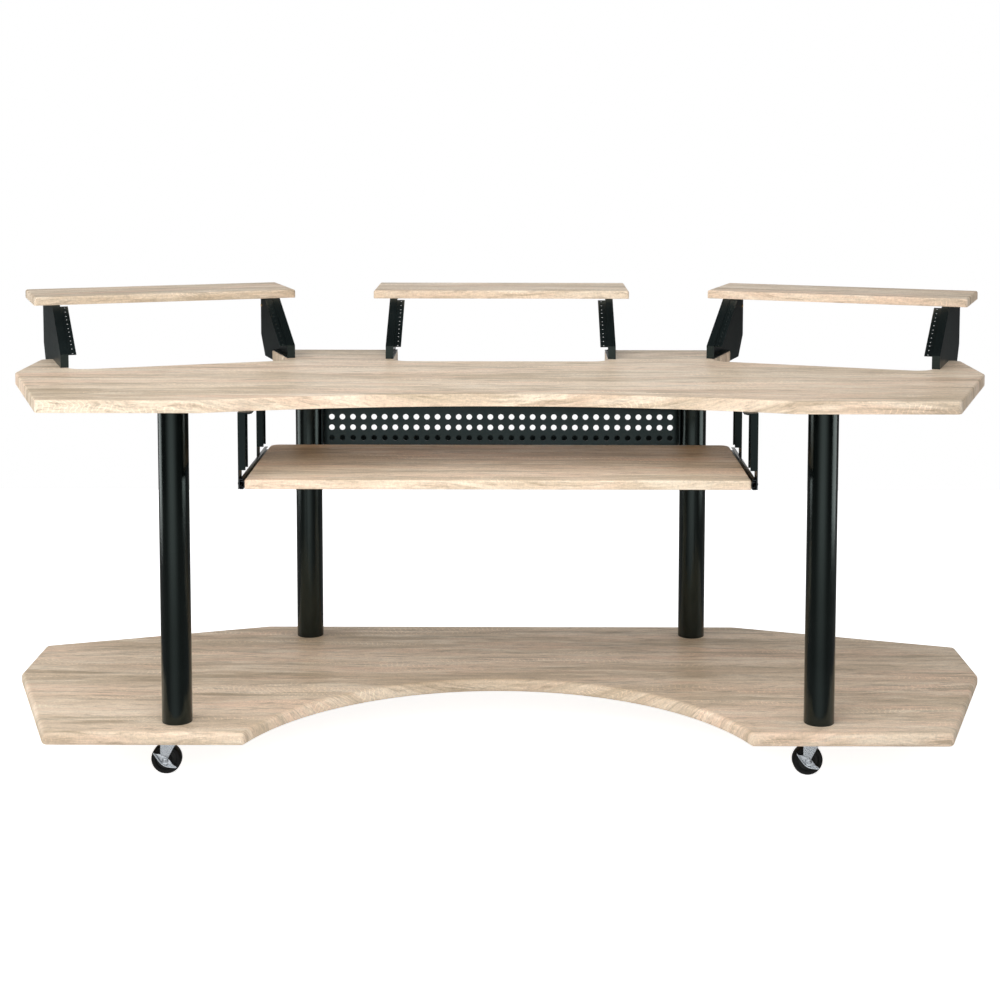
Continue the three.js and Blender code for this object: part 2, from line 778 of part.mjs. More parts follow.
function axle(frontEnd) {
  const back = forkOutside + fitGap;
  const geometry = turned([
    [0, -back - axleHeadLength],
    [axleHeadRadius, -back - axleHeadLength],
    [axleHeadRadius, -back],
    [axleRadius, -back],
    [axleRadius, frontEnd],
    [axleHeadRadius, frontEnd],
    [axleHeadRadius, frontEnd + axleHeadLength],
    [0, frontEnd + axleHeadLength],
  ], fittingSides);
  return geometry.rotateX(Math.PI / 2);
}

// The brake lever turns on the axle: its heel lies at the rim and its toe is trodden on. Its lower edge bows from tip to
// tip and carries a turned rim.
function brakeLever() {
  const tipPoint = (reach, angle) => {
    const tip = new THREE.Vector2(reach - leverTipRadius, 0);
    return tip.rotateAround(new THREE.Vector2(), angle);
  };
  const arm = (reach, angle) => {
    const across = new THREE.Vector2(-Math.sin(angle), Math.cos(angle));
    const tip = tipPoint(reach, angle);
    const outline = [
      across.clone().multiplyScalar(-leverArmHalfWidth),
      ...arcPoints(tip.x, tip.y, leverTipRadius, angle - Math.PI / 2, angle + Math.PI / 2),
      across.clone().multiplyScalar(leverArmHalfWidth),
    ];
    return depthPrism(outline, -leverOutside, -leverInside);
  };
  const ring = arcPoints(0, 0, leverEyeRadius, 0, 2 * Math.PI).slice(1);
  const eye = depthPrism(ring, -leverOutside, -leverInside);

  const heel = tipPoint(leverHeelReach, leverHeelAngle);
  const toe = tipPoint(leverToeReach, leverToeAngle);
  const chord = toe.clone().sub(heel);
  const rise = Math.sqrt((leverBowRadius - leverTipRadius) ** 2 - chord.lengthSq() / 4);
  const centre = heel.clone().add(toe).multiplyScalar(0.5);
  centre.add(new THREE.Vector2(-chord.y, chord.x).setLength(rise));
  const toHeel = heel.clone().sub(centre).angle();
  const toToe = toe.clone().sub(centre).angle();
  const bow = (radius) => arcPoints(centre.x, centre.y, radius, toHeel, toToe);
  const web = depthPrism([heel, ...bow(leverBowRadius), toe], -leverOutside, -leverInside);
  const rimOutline = [...bow(leverBowRadius), ...bow(leverBowRadius - leverRimThickness).reverse()];
  const rim = depthPrism(rimOutline, -leverOutside - leverRimLip, -leverInside);

  const padPoint = tipPoint(leverToeReach + leverTipRadius - leverArmHalfWidth, leverToeAngle);
  const padRing = arcPoints(padPoint.x, padPoint.y, leverTipRadius, 0, 2 * Math.PI).slice(1);
  const pad = depthPrism(padRing, -leverOutside - leverLip, -leverInside);
  const bore = rod(axleRadius + fitGap, leverInside - cutOver, leverOutside + cutOver);
  const arms = [arm(leverHeelReach, leverHeelAngle), arm(leverToeReach, leverToeAngle)];
  return joined([eye, ...arms, web, rim, pad]).subtract(toSolid(bore.rotateX(Math.PI / 2)));
}

function addCasters() {
  for (const [place, x, y] of legPlaces) {
    const braked = place.startsWith("front");
    const caster = new THREE.Group();
    caster.position.set(x, y, 0);
    desk.add(caster);
    addPiece(caster, `caster_stem_${place}`, stem(), zinc);
    addPiece(caster, `caster_fork_${place}`, fork(), zinc);
    const axis = new THREE.Group();
    axis.position.set(-casterTrail, 0, axleHeight);
    caster.add(axis);
    addPiece(axis, `caster_wheel_${place}`, wheel(), blackPlastic);
    addPiece(axis, `caster_axle_${place}`, axle((braked ? leverOutside : forkOutside) + fitGap), zinc);
    if (braked) {
      addPiece(axis, `brake_lever_${place}`, brakeLever(), zinc);
    }
  }
}

addBaseBoard();
addDesktop();
addLegs();
addRackUnit("left", -wingRackX, wingRackY, wingTurn);
addRackUnit("centre", 0, centreRackY, 0);
addRackUnit("right", wingRackX, wingRackY, -wingTurn);
addKeyboardTray();
addTraySupports();
addCableTray();
addCasters();

const extent = new THREE.Box3().setFromObject(desk, true);
desk.position.y = -(extent.min.y + extent.max.y) / 2;
desk.updateMatrixWorld(true);

export default desk;
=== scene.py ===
"""Looks of the studio desk: foil-wrapped boards, powder-coated steel, zinc-plated casters, a pale studio."""

import math

import bmesh
import bpy
from mathutils import Matrix, Vector


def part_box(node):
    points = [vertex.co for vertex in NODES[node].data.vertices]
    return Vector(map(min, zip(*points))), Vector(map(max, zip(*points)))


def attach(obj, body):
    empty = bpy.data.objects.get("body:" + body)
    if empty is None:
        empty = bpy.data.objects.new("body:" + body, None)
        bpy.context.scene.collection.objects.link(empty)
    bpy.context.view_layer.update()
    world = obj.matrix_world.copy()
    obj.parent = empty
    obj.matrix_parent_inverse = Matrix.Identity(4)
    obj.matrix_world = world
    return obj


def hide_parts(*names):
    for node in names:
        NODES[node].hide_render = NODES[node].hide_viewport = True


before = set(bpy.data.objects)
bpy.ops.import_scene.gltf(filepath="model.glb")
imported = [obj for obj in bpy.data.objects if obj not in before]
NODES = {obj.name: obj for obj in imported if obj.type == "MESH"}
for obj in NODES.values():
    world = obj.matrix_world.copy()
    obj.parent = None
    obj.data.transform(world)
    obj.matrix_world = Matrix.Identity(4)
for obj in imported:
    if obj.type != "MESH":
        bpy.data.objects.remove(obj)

MM = 0.001
SCENE = bpy.context.scene
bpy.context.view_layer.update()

# Sizes in millimetres. The plan's origin is the middle of the boards' front edge, on the floor

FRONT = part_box("base_board")[0].y / MM
WING_TURN = math.radians(20)
HALF_WIDTH = 1033
FRONT_CORNER_X = 890.5
PLAN_RADIUS = 12
UNDER_RADIUS = 0.6
BASE_TOP, BASE_THICKNESS, BASE_RADIUS = 105, 28, 9
BASE_DEPTH, BASE_SIDE_DEPTH, BASE_REAR_X = 768, 602, 546
BAY_HALF_WIDTH, BAY_DEPTH = 495, 348
TOP, TOP_THICKNESS, TOP_RADIUS = 759, 25, 4
TOP_DEPTH, TOP_SIDE_DEPTH = 794, 605
CURVE_HALF_WIDTH, CURVE_DEPTH = 575, 93
RECESS_HALF_WIDTH, RECESS_SETBACK, RECESS_RADIUS, LIP_RADIUS = 242.2, 35, 40, 10
UNDERSIDE = TOP - TOP_THICKNESS
LEGS = {
    "front_left": (-637.5, 69.6),
    "front_right": (637.5, 69.6),
    "rear_left": (-441.5, 692.4),
    "rear_right": (441.5, 692.4),
}
LEG_RADIUS, FLANGE_RADIUS, FLANGE_THICKNESS, FLANGE_SCREW_RADIUS = 30, 40, 4, 34.5
RACKS = {"left": (-709.3, 550.9, WING_TURN), "centre": (0, 625, 0), "right": (709.3, 550.9, -WING_TURN)}
RACK_SLOPE = math.radians(31.5)
RACK_UNIT, RACK_UNITS = 44.45, 4
RACK_LENGTH = RACK_UNIT * RACK_UNITS
RACK_HOLES, RACK_HOLE_X, RACK_OPENING_HALF = (1 / 7, 1 / 2, 6 / 7), 232.55, 225
RAIL_SHEET, RAIL_FLANGE, RAIL_CLEARANCE, RAIL_END_GAP = 2, 24, 0.3, 1.9
BRACKET_HALF, BRACKET_SHEET, BRACKET_FOOT, BRACKET_LENGTH = 259.5, 2, 29, 352
BRACKET_TOP = BRACKET_FOOT + RACK_LENGTH * math.sin(RACK_SLOPE)
RACK_RUN = RACK_LENGTH * math.cos(RACK_SLOPE)
FOOT_SCREWS, HEAD_SCREWS = (24, 148), (RACK_RUN + 22, BRACKET_LENGTH - 24)
RAIL_SCREWS, RAIL_SCREW_DEPTH, FLANGE_SCREW_INSET = (30, RACK_LENGTH - 30), 16, 9.5
RIVET_BEHIND, RIVET_HEIGHT = BRACKET_LENGTH - 7, 88
SHELF_HALF, SHELF_DEPTH, SHELF_THICKNESS, SHELF_RADIUS, SHELF_CORNER = 298, 212, 19, 5, 6
SHELF_FRONT = RACK_RUN + 2
TRAY_HALF, TRAY_FRONT, TRAY_DEPTH, TRAY_TOP, TRAY_THICKNESS = 490.5, 8, 395, 603, 18
TRAY_RADIUS, TRAY_FRONT_CORNER, TRAY_REAR_CORNER = 4, 6, 20
HANGER_FRONTS = (11.6, 268.6)
HANGER_DEPTH, HANGER_OUTSIDE, HANGER_SHEET, HANGER_SCREW_INSET = 36, 502.5, 3, 20
HANGER_SIDE_SCREWS, HANGER_TOP_SCREWS = (-9, 9), (-10, 10)
SLIDE_MIDDLE = TRAY_TOP - TRAY_THICKNESS / 2
SLIDE_START, SLIDE_SHEET = 10, 1.2
# Each slide channel: name, body, length, X of its lips and of its web, half its height, bend radius
SLIDE_CHANNELS = (
    ("outer", "frame", 360, 492.6, 499.9, 9.4, 2.2),
    ("inner", "tray", 350, 497.4, 491.1, 5.4, 1.6),
)
BALL_RADIUS, BALL_X, BALL_RISE, BALLS_IN_ROW = 1.6, 495.2, 7.1, 8
CABLE_HALF, CABLE_LOW, CABLE_TOP = 411, 533.7, 643.7
CABLE_WALL_Y, CABLE_BACK_Y, CABLE_LIP, CABLE_FLANGE, CABLE_SHEET = 712, 791, 29, 35, 2
CABLE_PITCH, CABLE_COLUMNS, CABLE_ROWS, CABLE_HOLE, CABLE_EAR_RADIUS = 24.4, 33, 3, 6.5, 4
CABLE_SCREW_Y, CABLE_SCREW_HEIGHTS = LEGS["rear_left"][1] + 3, (620.7, 593.5, 556)
CASTER_TRAIL, AXLE_Z, WHEEL_RADIUS = 22, 30, 30
FORK_TOP, FORK_INSIDE, FORK_SHEET = 68, 13.3, 2.5
FORK_OUTSIDE = FORK_INSIDE + FORK_SHEET
AXLE_CLEARANCE, WASHER_THICKNESS, LEVER_SHEET = 0.3, 0.9, 2.0
SIDES = (("left", -1), ("right", 1))

X_AXIS, Y_AXIS, Z_AXIS = Vector((1, 0, 0)), Vector((0, 1, 0)), Vector((0, 0, 1))
HERE, TO_FRONT = Matrix.Identity(4), Matrix.Rotation(math.pi / 2, 4, "X")
PLAN = Matrix.Translation((0, FRONT * MM, 0))


def place(x, y, z):
    """A point of the plan in the frame's metres."""
    return Vector((x * MM, (y + FRONT) * MM, z * MM))


# Materials


class Nodes:
    """Adds nodes to a tree. An input takes a value or the output of another node."""

    def __init__(self, tree):
        self.tree = tree

    def set(self, node, socket, value):
        target = node.inputs[socket]
        if isinstance(value, bpy.types.NodeSocket):
            self.tree.links.new(value, target)
        elif target.type == "RGBA":
            target.default_value = (*value, 1)
        else:
            target.default_value = value

    def add(self, kind, inputs=(), **settings):
        node = self.tree.nodes.new("ShaderNode" + kind)
        for key, value in settings.items():
            setattr(node, key, value)
        for socket, value in dict(inputs).items():
            self.set(node, socket, value)
        return node

    def ramp(self, value, low, high, to_low=0.0, to_high=1.0):
        node = self.add(
            "MapRange",
            {"Value": value, "From Min": low, "From Max": high, "To Min": to_low, "To Max": to_high},
            interpolation_type="SMOOTHSTEP",
        )
        return node.outputs["Result"]

    def maths(self, operation, a, b=0.0):
        return self.add("Math", {0: a, 1: b}, operation=operation).outputs[0]

    def times(self, a, b):
        return self.maths("MULTIPLY", a, b)

    def plus(self, a, b):
        return self.maths("ADD", a, b)

    def rays(self, *kinds):
        """1 for rays of the named kinds, 0 for others."""
        path = self.add("LightPath")
        total = path.outputs[kinds[0]]
        for kind in kinds[1:]:
            total = self.maths("MAXIMUM", total, path.outputs[kind])
        return total


class Shader(Nodes):
    """One material, built about its Principled BSDF."""

    def __init__(self, name, colour, roughness, metallic=0.0):
        self.material = bpy.data.materials.new(name)
        self.material.use_nodes = True
        super().__init__(self.material.node_tree)
        self.surface = self.tree.nodes["Principled BSDF"]
        self.give("Base Color", colour)
        self.give("Roughness", roughness)
        self.give("Metallic", metallic)

    def give(self, socket, value):
        self.set(self.surface, socket, value)

    def object_point(self):
        return self.add("TexCoord").outputs["Object"]

    def foil_point(self):
        return self.add("Attribute", attribute_name="foil").outputs["Vector"]

    def vectors(self, operation, a, b, output="Vector"):
        return self.add("VectorMath", {0: a, 1: b}, operation=operation).outputs[output]

    def noise(self, vector, scale, detail, roughness=0.5, distortion=0.0):
        """Noise in a space stretched by one scale, or by three."""
        scales = scale if isinstance(scale, tuple) else (scale,) * 3
        node = self.add("TexNoise", {
            "Vector": self.vectors("MULTIPLY", vector, scales), "Scale": 1.0, "Detail": detail,
            "Roughness": roughness, "Distortion": distortion,
        })
        return node.outputs["Fac"]

    def mix(self, share, a, b):
        node = self.add("Mix", data_type="RGBA", blend_type="MIX")
        self.set(node, "Factor", share)
        self.set(node, 6, a)
        self.set(node, 7, b)
        return node.outputs[2]

    def about_zero(self, value, strength):
        """A share from 0 to 1 as a change that goes both ways."""
        return self.times(self.maths("SUBTRACT", value, 0.5), strength)

    def bump(self, height, distance, strength=1.0):
        node = self.add("Bump", {"Height": height, "Distance": distance, "Strength": strength})
        self.give("Normal", node.outputs["Normal"])


def linear(red, green, blue):
    """An eight-bit display colour as linear light."""
    shares = [v / 255 for v in (red, green, blue)]
    return tuple(v / 12.92 if v <= 0.04045 else ((v + 0.055) / 1.055) ** 2.4 for v in shares)


# The oak print's layers over its broad bands: scale along, across and through the grain, the noise's
# detail, roughness and distortion, the span of noise in which the layer fades in, its strength and colour
OAK_LAYERS = {
    "warm": ((1.8, 12, 17), (3, 0.6, 0.4), (0.42, 0.64), 0.65, linear(247, 217, 192)),
    "pale": ((4.6, 44, 7), (5, 0.68, 0.4), (0.46, 0.66), 0.66, linear(251, 236, 214)),
    "streaks": ((2.4, 30, 11), (5, 0.66, 0.3), (0.5, 0.66), 0.58, linear(172, 153, 126)),
    "short streaks": ((11, 80, 3), (5, 0.72, 0.6), (0.51, 0.67), 0.56, linear(160, 140, 116)),
}


def oak_foil():
    """Pale rough-sawn oak print. The grain runs along the first coordinate of the unrolled foil."""
    s = Shader("oak_foil", linear(224, 206, 183), 0.42)
    foil = s.foil_point()
    wander = s.about_zero(s.noise(foil, (2.2, 9, 1), 3), 0.05)
    grain = s.vectors("ADD", foil, s.add("CombineXYZ", {"Y": wander}).outputs[0])
    bands = s.ramp(s.noise(grain, (0.7, 10, 1), 4, 0.62), 0.36, 0.64)
    colour = s.mix(bands, linear(211, 191, 165), linear(245, 225, 201))
    shares = {}
    for layer, (scale, texture, span, strength, tint) in OAK_LAYERS.items():
        shares[layer] = s.ramp(s.noise(grain, scale, *texture), *span)
        colour = s.mix(s.times(shares[layer], strength), colour, tint)
    fibres = s.noise(grain, (60, 300, 1), 5, 0.75, 0.5)
    pores = s.ramp(s.noise(grain, (70, 1300, 8), 2), 0.6, 0.7)
    speckle = s.noise(foil, (260, 160, 5), 2, 0.7)
    # saw marks: light flecks in patches, on swaying lines that cross the grain
    crossing = s.vectors("DOT_PRODUCT", foil, (520, 150, 0), "Value")
    sway = s.times(s.noise(foil, (7, 40, 2), 2), 30)
    marks = s.maths("SINE", s.plus(crossing, sway))
    patches = s.ramp(s.noise(grain, (3.6, 26, 9), 3), 0.54, 0.64)
    flecks = s.times(s.ramp(marks, 0.62, 1), patches)
    light = s.plus(s.about_zero(fibres, 0.95), 1)
    light = s.plus(light, s.about_zero(speckle, 0.4))
    light = s.plus(light, s.times(flecks, 0.22))
    light = s.maths("SUBTRACT", light, s.times(pores, 0.1))
    shade = s.add("CombineXYZ", {"X": light, "Y": light, "Z": light}).outputs[0]
    s.give("Base Color", s.vectors("MULTIPLY", colour, shade))
    s.give("Roughness", s.ramp(shares["pale"], 0, 1, 0.45, 0.37))
    s.give("Specular IOR Level", 0.32)
    relief = s.maths("SUBTRACT", fibres, s.times(pores, 0.7))
    s.bump(s.plus(relief, s.times(flecks, 0.5)), 0.00012)
    return s.material


def backing():
    """Plain melamine on the undersides, with a faint mottle."""
    s = Shader("melamine_backing", linear(180, 157, 126), 0.55)
    foil = s.foil_point()
    mottle = s.ramp(s.noise(foil, (60, 60, 1), 4), 0.3, 0.7)
    s.give("Base Color", s.mix(mottle, linear(174, 151, 120), linear(187, 164, 133)))
    s.bump(s.noise(foil, (900, 900, 1), 2), 0.00005)
    return s.material


def powder_coat(name, colour, roughness, gloss, tint, grain):
    """Textured powder coat: a fine orange peel with a slight change of gloss."""
    s = Shader(name, colour, roughness)
    s.give("Specular IOR Level", gloss)
    s.give("Specular Tint", tint)
    here = s.object_point()
    peel = s.noise(here, grain, 2)
    patch = s.noise(here, 9, 3)
    lighter = tuple(1.5 * v for v in colour)
    s.give("Base Color", s.mix(s.ramp(patch, 0.3, 0.75), colour, lighter))
    s.give("Roughness", s.ramp(patch, 0.3, 0.7, roughness - 0.04, roughness + 0.05))
    s.bump(peel, 0.00012, 0.6)
    return s.material


def plated(name, colour, roughness):
    """Bright plated steel with a crystal mottle and fine drawing marks."""
    s = Shader(name, colour, roughness, 1)
    here = s.object_point()
    cells = s.add("TexVoronoi", {"Vector": s.vectors("MULTIPLY", here, (420,) * 3), "Scale": 1})
    marks = s.noise(here, (90, 90, 1500), 3, 0.6)
    darker = tuple(0.78 * v for v in colour)
    s.give("Base Color", s.mix(s.ramp(marks, 0.3, 0.7), darker, colour))
    s.give("Roughness", s.ramp(cells.outputs["Distance"], 0, 0.8, roughness - 0.07, roughness + 0.1))
    s.bump(marks, 0.00004)
    return s.material


def moulded(name, colour, roughness, gloss, grain):
    """Moulded rubber or plastic with a fine matt grain and a little dust."""
    s = Shader(name, colour, roughness)
    s.give("Specular IOR Level", gloss)
    here = s.object_point()
    dust = s.ramp(s.noise(here, 70, 4, 0.6), 0.45, 0.8)
    lighter = tuple(1.8 * v + 0.002 for v in colour)
    s.give("Base Color", s.mix(dust, colour, lighter))
    s.give("Roughness", s.ramp(dust, 0, 1, roughness - 0.05, roughness + 0.12))
    s.bump(s.noise(here, grain, 2), 0.00008)
    return s.material


OAK = oak_foil()
BACKING = backing()
STEEL_BLACK = powder_coat("black_powder_coat", (0.001, 0.0016, 0.0015), 0.16, 0.5, (0.8, 1, 0.95), 1500)
SHEET_BLACK = powder_coat(
    "black_powder_coat_sheet", (0.0045, 0.007, 0.0072), 0.34, 0.5, (0.76, 1, 1), 1300)
# The hangers' coat is a darker, less glossy copy of the sheet coat: its darker colour is painted shade under
# the desktop
SHADED_HANGER_BLACK = powder_coat(
    "black_powder_coat_hanger_painted_shade", (0.002, 0.003, 0.003), 0.34, 0.26, (0.76, 1, 1), 1300)
SCREW_BLACK = plated("black_oxide_screws", (0.06, 0.062, 0.065), 0.32)
SLIDE_STEEL = plated("black_slide_steel", (0.07, 0.08, 0.088), 0.3)
ZINC = plated("zinc_plate", (0.66, 0.70, 0.74), 0.22)
STEEL_BALL = plated("steel_balls", (0.75, 0.76, 0.78), 0.14)
BRASS = plated("brass", (0.72, 0.47, 0.22), 0.25)
TYRE = moulded("wheel_rubber", (0.0025, 0.0025, 0.0024), 0.5, 0.22, 900)
CORE = moulded("wheel_core_plastic", (0.006, 0.0065, 0.0062), 0.5, 0.3, 1400)


# Making meshes and pieces


def new_piece(name, mesh, material, body, replaces=()):
    """A finished mesh as a piece that rides on a body."""
    obj = bpy.data.objects.new(name, mesh)
    for each in material if isinstance(material, tuple) else (material,):
        mesh.materials.append(each)
    SCENE.collection.objects.link(obj)
    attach(obj, body)
    if replaces:
        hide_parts(*replaces)


def finish_node(name, material):
    """Gives a CAD node that stays its finish."""
    mesh = NODES[name].data
    mesh.materials.clear()
    mesh.materials.append(material)
    mesh.polygons.foreach_set("material_index", [0] * len(mesh.polygons))


def add_bevel(obj, width, segments, angle):
    """Rounds the object's edges where its faces meet at more than the angle, in degrees."""
    change = obj.modifiers.new("edge", "BEVEL")
    change.width, change.segments = width * MM, segments
    change.limit_method, change.angle_limit = "ANGLE", math.radians(angle)


def soften_node(name, width, material):
    """Rounds the sheet edges of a CAD node and gives it its finish."""
    obj = NODES[name]
    flat = obj.modifiers.new("flat", "DECIMATE")
    flat.decimate_type, flat.angle_limit = "DISSOLVE", math.radians(1)
    add_bevel(obj, width, 3, 25)
    obj.modifiers.new("shade", "WEIGHTED_NORMAL")
    finish_node(name, material)


def smooth(mesh, angle):
    """Smooth shading that stays sharp where faces meet at more than the angle, in degrees."""
    mesh.polygons.foreach_set("use_smooth", [True] * len(mesh.polygons))
    mesh.set_sharp_from_angle(angle=math.radians(angle))
    return mesh


def loose(data):
    """A scratch object for modifiers to work on."""
    obj = bpy.data.objects.new("scratch", data)
    SCENE.collection.objects.link(obj)
    return obj


def applied(obj):
    """The object's mesh with its modifiers applied. The object goes."""
    bpy.context.view_layer.update()
    graph = bpy.context.evaluated_depsgraph_get()
    mesh = bpy.data.meshes.new_from_object(obj.evaluated_get(graph), depsgraph=graph)
    bpy.data.objects.remove(obj)
    return mesh


def cut(mesh, cutter):
    """The mesh without what the cutter holds."""
    obj, tool = loose(mesh), loose(cutter)
    change = obj.modifiers.new("cut", "BOOLEAN")
    change.operation, change.solver, change.object = "DIFFERENCE", "EXACT", tool
    result = applied(obj)
    bpy.data.objects.remove(tool)
    return result


def mesh_from(work, name):
    """The working mesh as a mesh of its own."""
    mesh = bpy.data.meshes.new(name)
    work.to_mesh(mesh)
    work.free()
    return mesh


def merged(parts):
    """One mesh from (mesh, matrix) pairs."""
    whole = bmesh.new()
    for mesh, matrix in parts:
        copy = mesh.copy()
        copy.transform(matrix)
        whole.from_mesh(copy)
        bpy.data.meshes.remove(copy)
    return mesh_from(whole, "parts")


def moved(mesh, matrix, angle=35):
    """A smooth copy of the mesh, moved by the matrix."""
    return smooth(merged([(mesh, matrix)]), angle)


def closed(mesh, reach):
    """The mesh with points closer than the reach joined and its faces turned outwards."""
    work = bmesh.new()
    work.from_mesh(mesh)
    bmesh.ops.remove_doubles(work, verts=work.verts, dist=reach)
    bmesh.ops.recalc_face_normals(work, faces=work.faces)
    work.to_mesh(mesh)
    work.free()
    return mesh


def mesh_of(points, faces):
    """A mesh from points in millimetres, as they are."""
    mesh = bpy.data.meshes.new("shape")
    mesh.from_pydata([Vector(p) * MM for p in points], [], faces)
    return mesh


ARC_STEP = math.radians(5)


def rounded(corners):
    """An outline through (x, y, radius) corners."""
    outline = []
    for i, (x, y, radius) in enumerate(corners):
        at = Vector((x, y))
        if radius == 0:
            outline.append(at)
            continue
        before = (Vector(corners[i - 1][:2]) - at).normalized()
        after = (Vector(corners[(i + 1) % len(corners)][:2]) - at).normalized()
        half = math.acos(max(-1, min(1, before.dot(after)))) / 2
        centre = at + (before + after).normalized() * (radius / math.sin(half))
        first = at + before * (radius / math.tan(half)) - centre
        turn = (math.pi - 2 * half) * (1 if before.cross(after) < 0 else -1)
        steps = max(2, math.ceil(abs(turn) / ARC_STEP))
        for k in range(steps + 1):
            angle = turn * k / steps
            c, s = math.cos(angle), math.sin(angle)
            outline.append(centre + Vector((c * first.x - s * first.y, s * first.x + c * first.y)))
    return outline


def rectangle(half, front, back, front_radius=0, back_radius=0):
    """The outline of a rectangle about the Y axis, with rounded corners."""
    return rounded([(-half, front, front_radius), (half, front, front_radius),
                    (half, back, back_radius), (-half, back, back_radius)])


def circle(radius, sides=24):
    turns = [2 * math.pi * k / sides for k in range(sides)]
    return [Vector((radius * math.cos(turn), radius * math.sin(turn))) for turn in turns]


def lathe(profile, sides, ring=False):
    """A turned body about Z, from (radius, height) points that start and end on the axis or form a ring."""
    points, rings = [], []
    for radius, height in profile:
        if radius == 0:
            rings.append([len(points)])
            points.append((0, 0, height))
            continue
        rings.append(list(range(len(points), len(points) + sides)))
        for k in range(sides):
            angle = 2 * math.pi * k / sides
            points.append((radius * math.cos(angle), radius * math.sin(angle), height))
    pairs = list(zip(rings, rings[1:]))
    if ring:
        pairs.append((rings[-1], rings[0]))
    faces = []
    for low, high in pairs:
        for k in range(sides):
            n = (k + 1) % sides
            corners = [low[k % len(low)], low[n % len(low)], high[n % len(high)], high[k % len(high)]]
            unique = list(dict.fromkeys(corners))
            if len(unique) > 2:
                faces.append(unique)
    return smooth(closed(mesh_of(points, faces), 1e-7), 30)


def bend(before, at, after, reach, steps):
    """Points of a bend that takes the place of a corner, as far as the reach to both sides."""
    start, end = at + (before - at).normalized() * reach, at + (after - at).normalized() * reach
    shares = [k / steps for k in range(steps + 1)]
    return [start * (1 - t) ** 2 + at * (2 * t * (1 - t)) + end * t**2 for t in shares]


def softened(profile, radius, steps=4):
    """A turned profile whose inner corners are rounded by up to the radius."""
    result = [profile[0]]
    for before, at, after in zip(profile, profile[1:], profile[2:]):
        a, p, b = Vector(before), Vector(at), Vector(after)
        reach = min(radius, (a - p).length * 0.45, (b - p).length * 0.45)
        result += [tuple(point) for point in bend(a, p, b, reach, steps)]
    return [*result, profile[-1]]


def cylinder(radius, low, high, softness, sides, steps=4):
    """A cylinder about Z with rounded edges."""
    return lathe(softened([(0, low), (radius, low), (radius, high), (0, high)], softness, steps), sides)


def plate(outline, thickness, holes=(), edge=0.3):
    """A flat plate in XY, centred on Z, with softened edges and holes."""
    curve = bpy.data.curves.new("plate", "CURVE")
    curve.dimensions, curve.fill_mode = "2D", "BOTH"
    curve.extrude = (thickness / 2 - edge) * MM
    curve.bevel_depth, curve.bevel_resolution, curve.offset = edge * MM, 1, -edge * MM
    for loop in (outline, *holes):
        spline = curve.splines.new("POLY")
        spline.points.add(len(loop) - 1)
        for target, point in zip(spline.points, loop):
            target.co = (point[0] * MM, point[1] * MM, 0, 1)
        spline.use_cyclic_u = True
    return smooth(closed(applied(loose(curve)), 1e-6), 40)


def extruded(section, start, end, axes, edge):
    """A closed section of (a, b) points drawn along the third axis, from start to end, its edges rounded."""
    count = len(section)
    along = axes[0].cross(axes[1])
    points = [axes[0] * a + axes[1] * b + along * t for t in (start, end) for a, b in section]
    faces = [list(range(count)), list(range(2 * count - 1, count - 1, -1))]
    for k in range(count):
        n = (k + 1) % count
        faces.append([k, n, count + n, count + k])
    mesh = closed(mesh_of(points, faces), 1e-7)
    if edge:
        obj = loose(mesh)
        add_bevel(obj, edge, 2, 40)
        mesh = applied(obj)
    return smooth(mesh, 40)


def folded(line, thickness, radius, steps=6):
    """The closed section of a folded sheet: a centre line whose corners are bent to the radius."""
    bent = [Vector(line[0])]
    for before, at, after in zip(line, line[1:], line[2:]):
        bent += bend(Vector(before), Vector(at), Vector(after), radius, steps)
    bent.append(Vector(line[-1]))
    left, right = [], []
    for i, p in enumerate(bent):
        before, after = bent[max(i - 1, 0)], bent[min(i + 1, len(bent) - 1)]
        along = (after - before).normalized()
        across = Vector((-along.y, along.x)) * thickness / 2
        left.append(p + across)
        right.append(p - across)
    return left + right[::-1]


# Boards

# A board's edge: steps of each rounding, and how far its support rings stand off on the faces and the side
EDGE_STEPS, FACE_SUPPORT, SIDE_SUPPORT = 7, 1.2, 0.4
# How far apart two boards' foils lie in the print, in metres, so that no grain repeats
FOIL_STEP = (3.7, 1.9, 0.61)


def signed_area(outline):
    return sum(a.cross(b) for a, b in zip(outline, outline[1:] + outline[:1])) / 2


def outward_steps(outline):
    """For each point of an outline, the step that moves both its sides outwards by one."""
    steps = []
    for i, p in enumerate(outline):
        ahead = (outline[(i + 1) % len(outline)] - p).normalized()
        behind = (p - outline[i - 1]).normalized()
        both = Vector((ahead.y, -ahead.x)) + Vector((behind.y, -behind.x))
        both.normalize()
        steps.append(both / both.dot(Vector((ahead.y, -ahead.x))))
    return steps


def edge_rings(top, thickness, upper, lower):
    """(inset, height, way along the foil) of the rings over a board's edge, from the top to the underside."""
    low = top - thickness
    side_start, side_end = top - upper, low + lower
    angles = [math.pi / 2 * k / EDGE_STEPS for k in range(EDGE_STEPS + 1)]
    rings = [(upper + FACE_SUPPORT, top, -FACE_SUPPORT)]
    for angle in angles:
        rings.append((upper * (1 - math.sin(angle)), top - upper * (1 - math.cos(angle)), upper * angle))
    run = rings[-1][2]
    rings.append((0, side_start - SIDE_SUPPORT, run + SIDE_SUPPORT))
    run += side_start - side_end
    rings.append((0, side_end + SIDE_SUPPORT, run - SIDE_SUPPORT))
    for angle in angles:
        inset, height = lower * (1 - math.cos(angle)), low + lower * (1 - math.sin(angle))
        rings.append((inset, height, run + lower * angle))
    rings.append((lower + FACE_SUPPORT, low, rings[-1][2] + FACE_SUPPORT))
    return rings


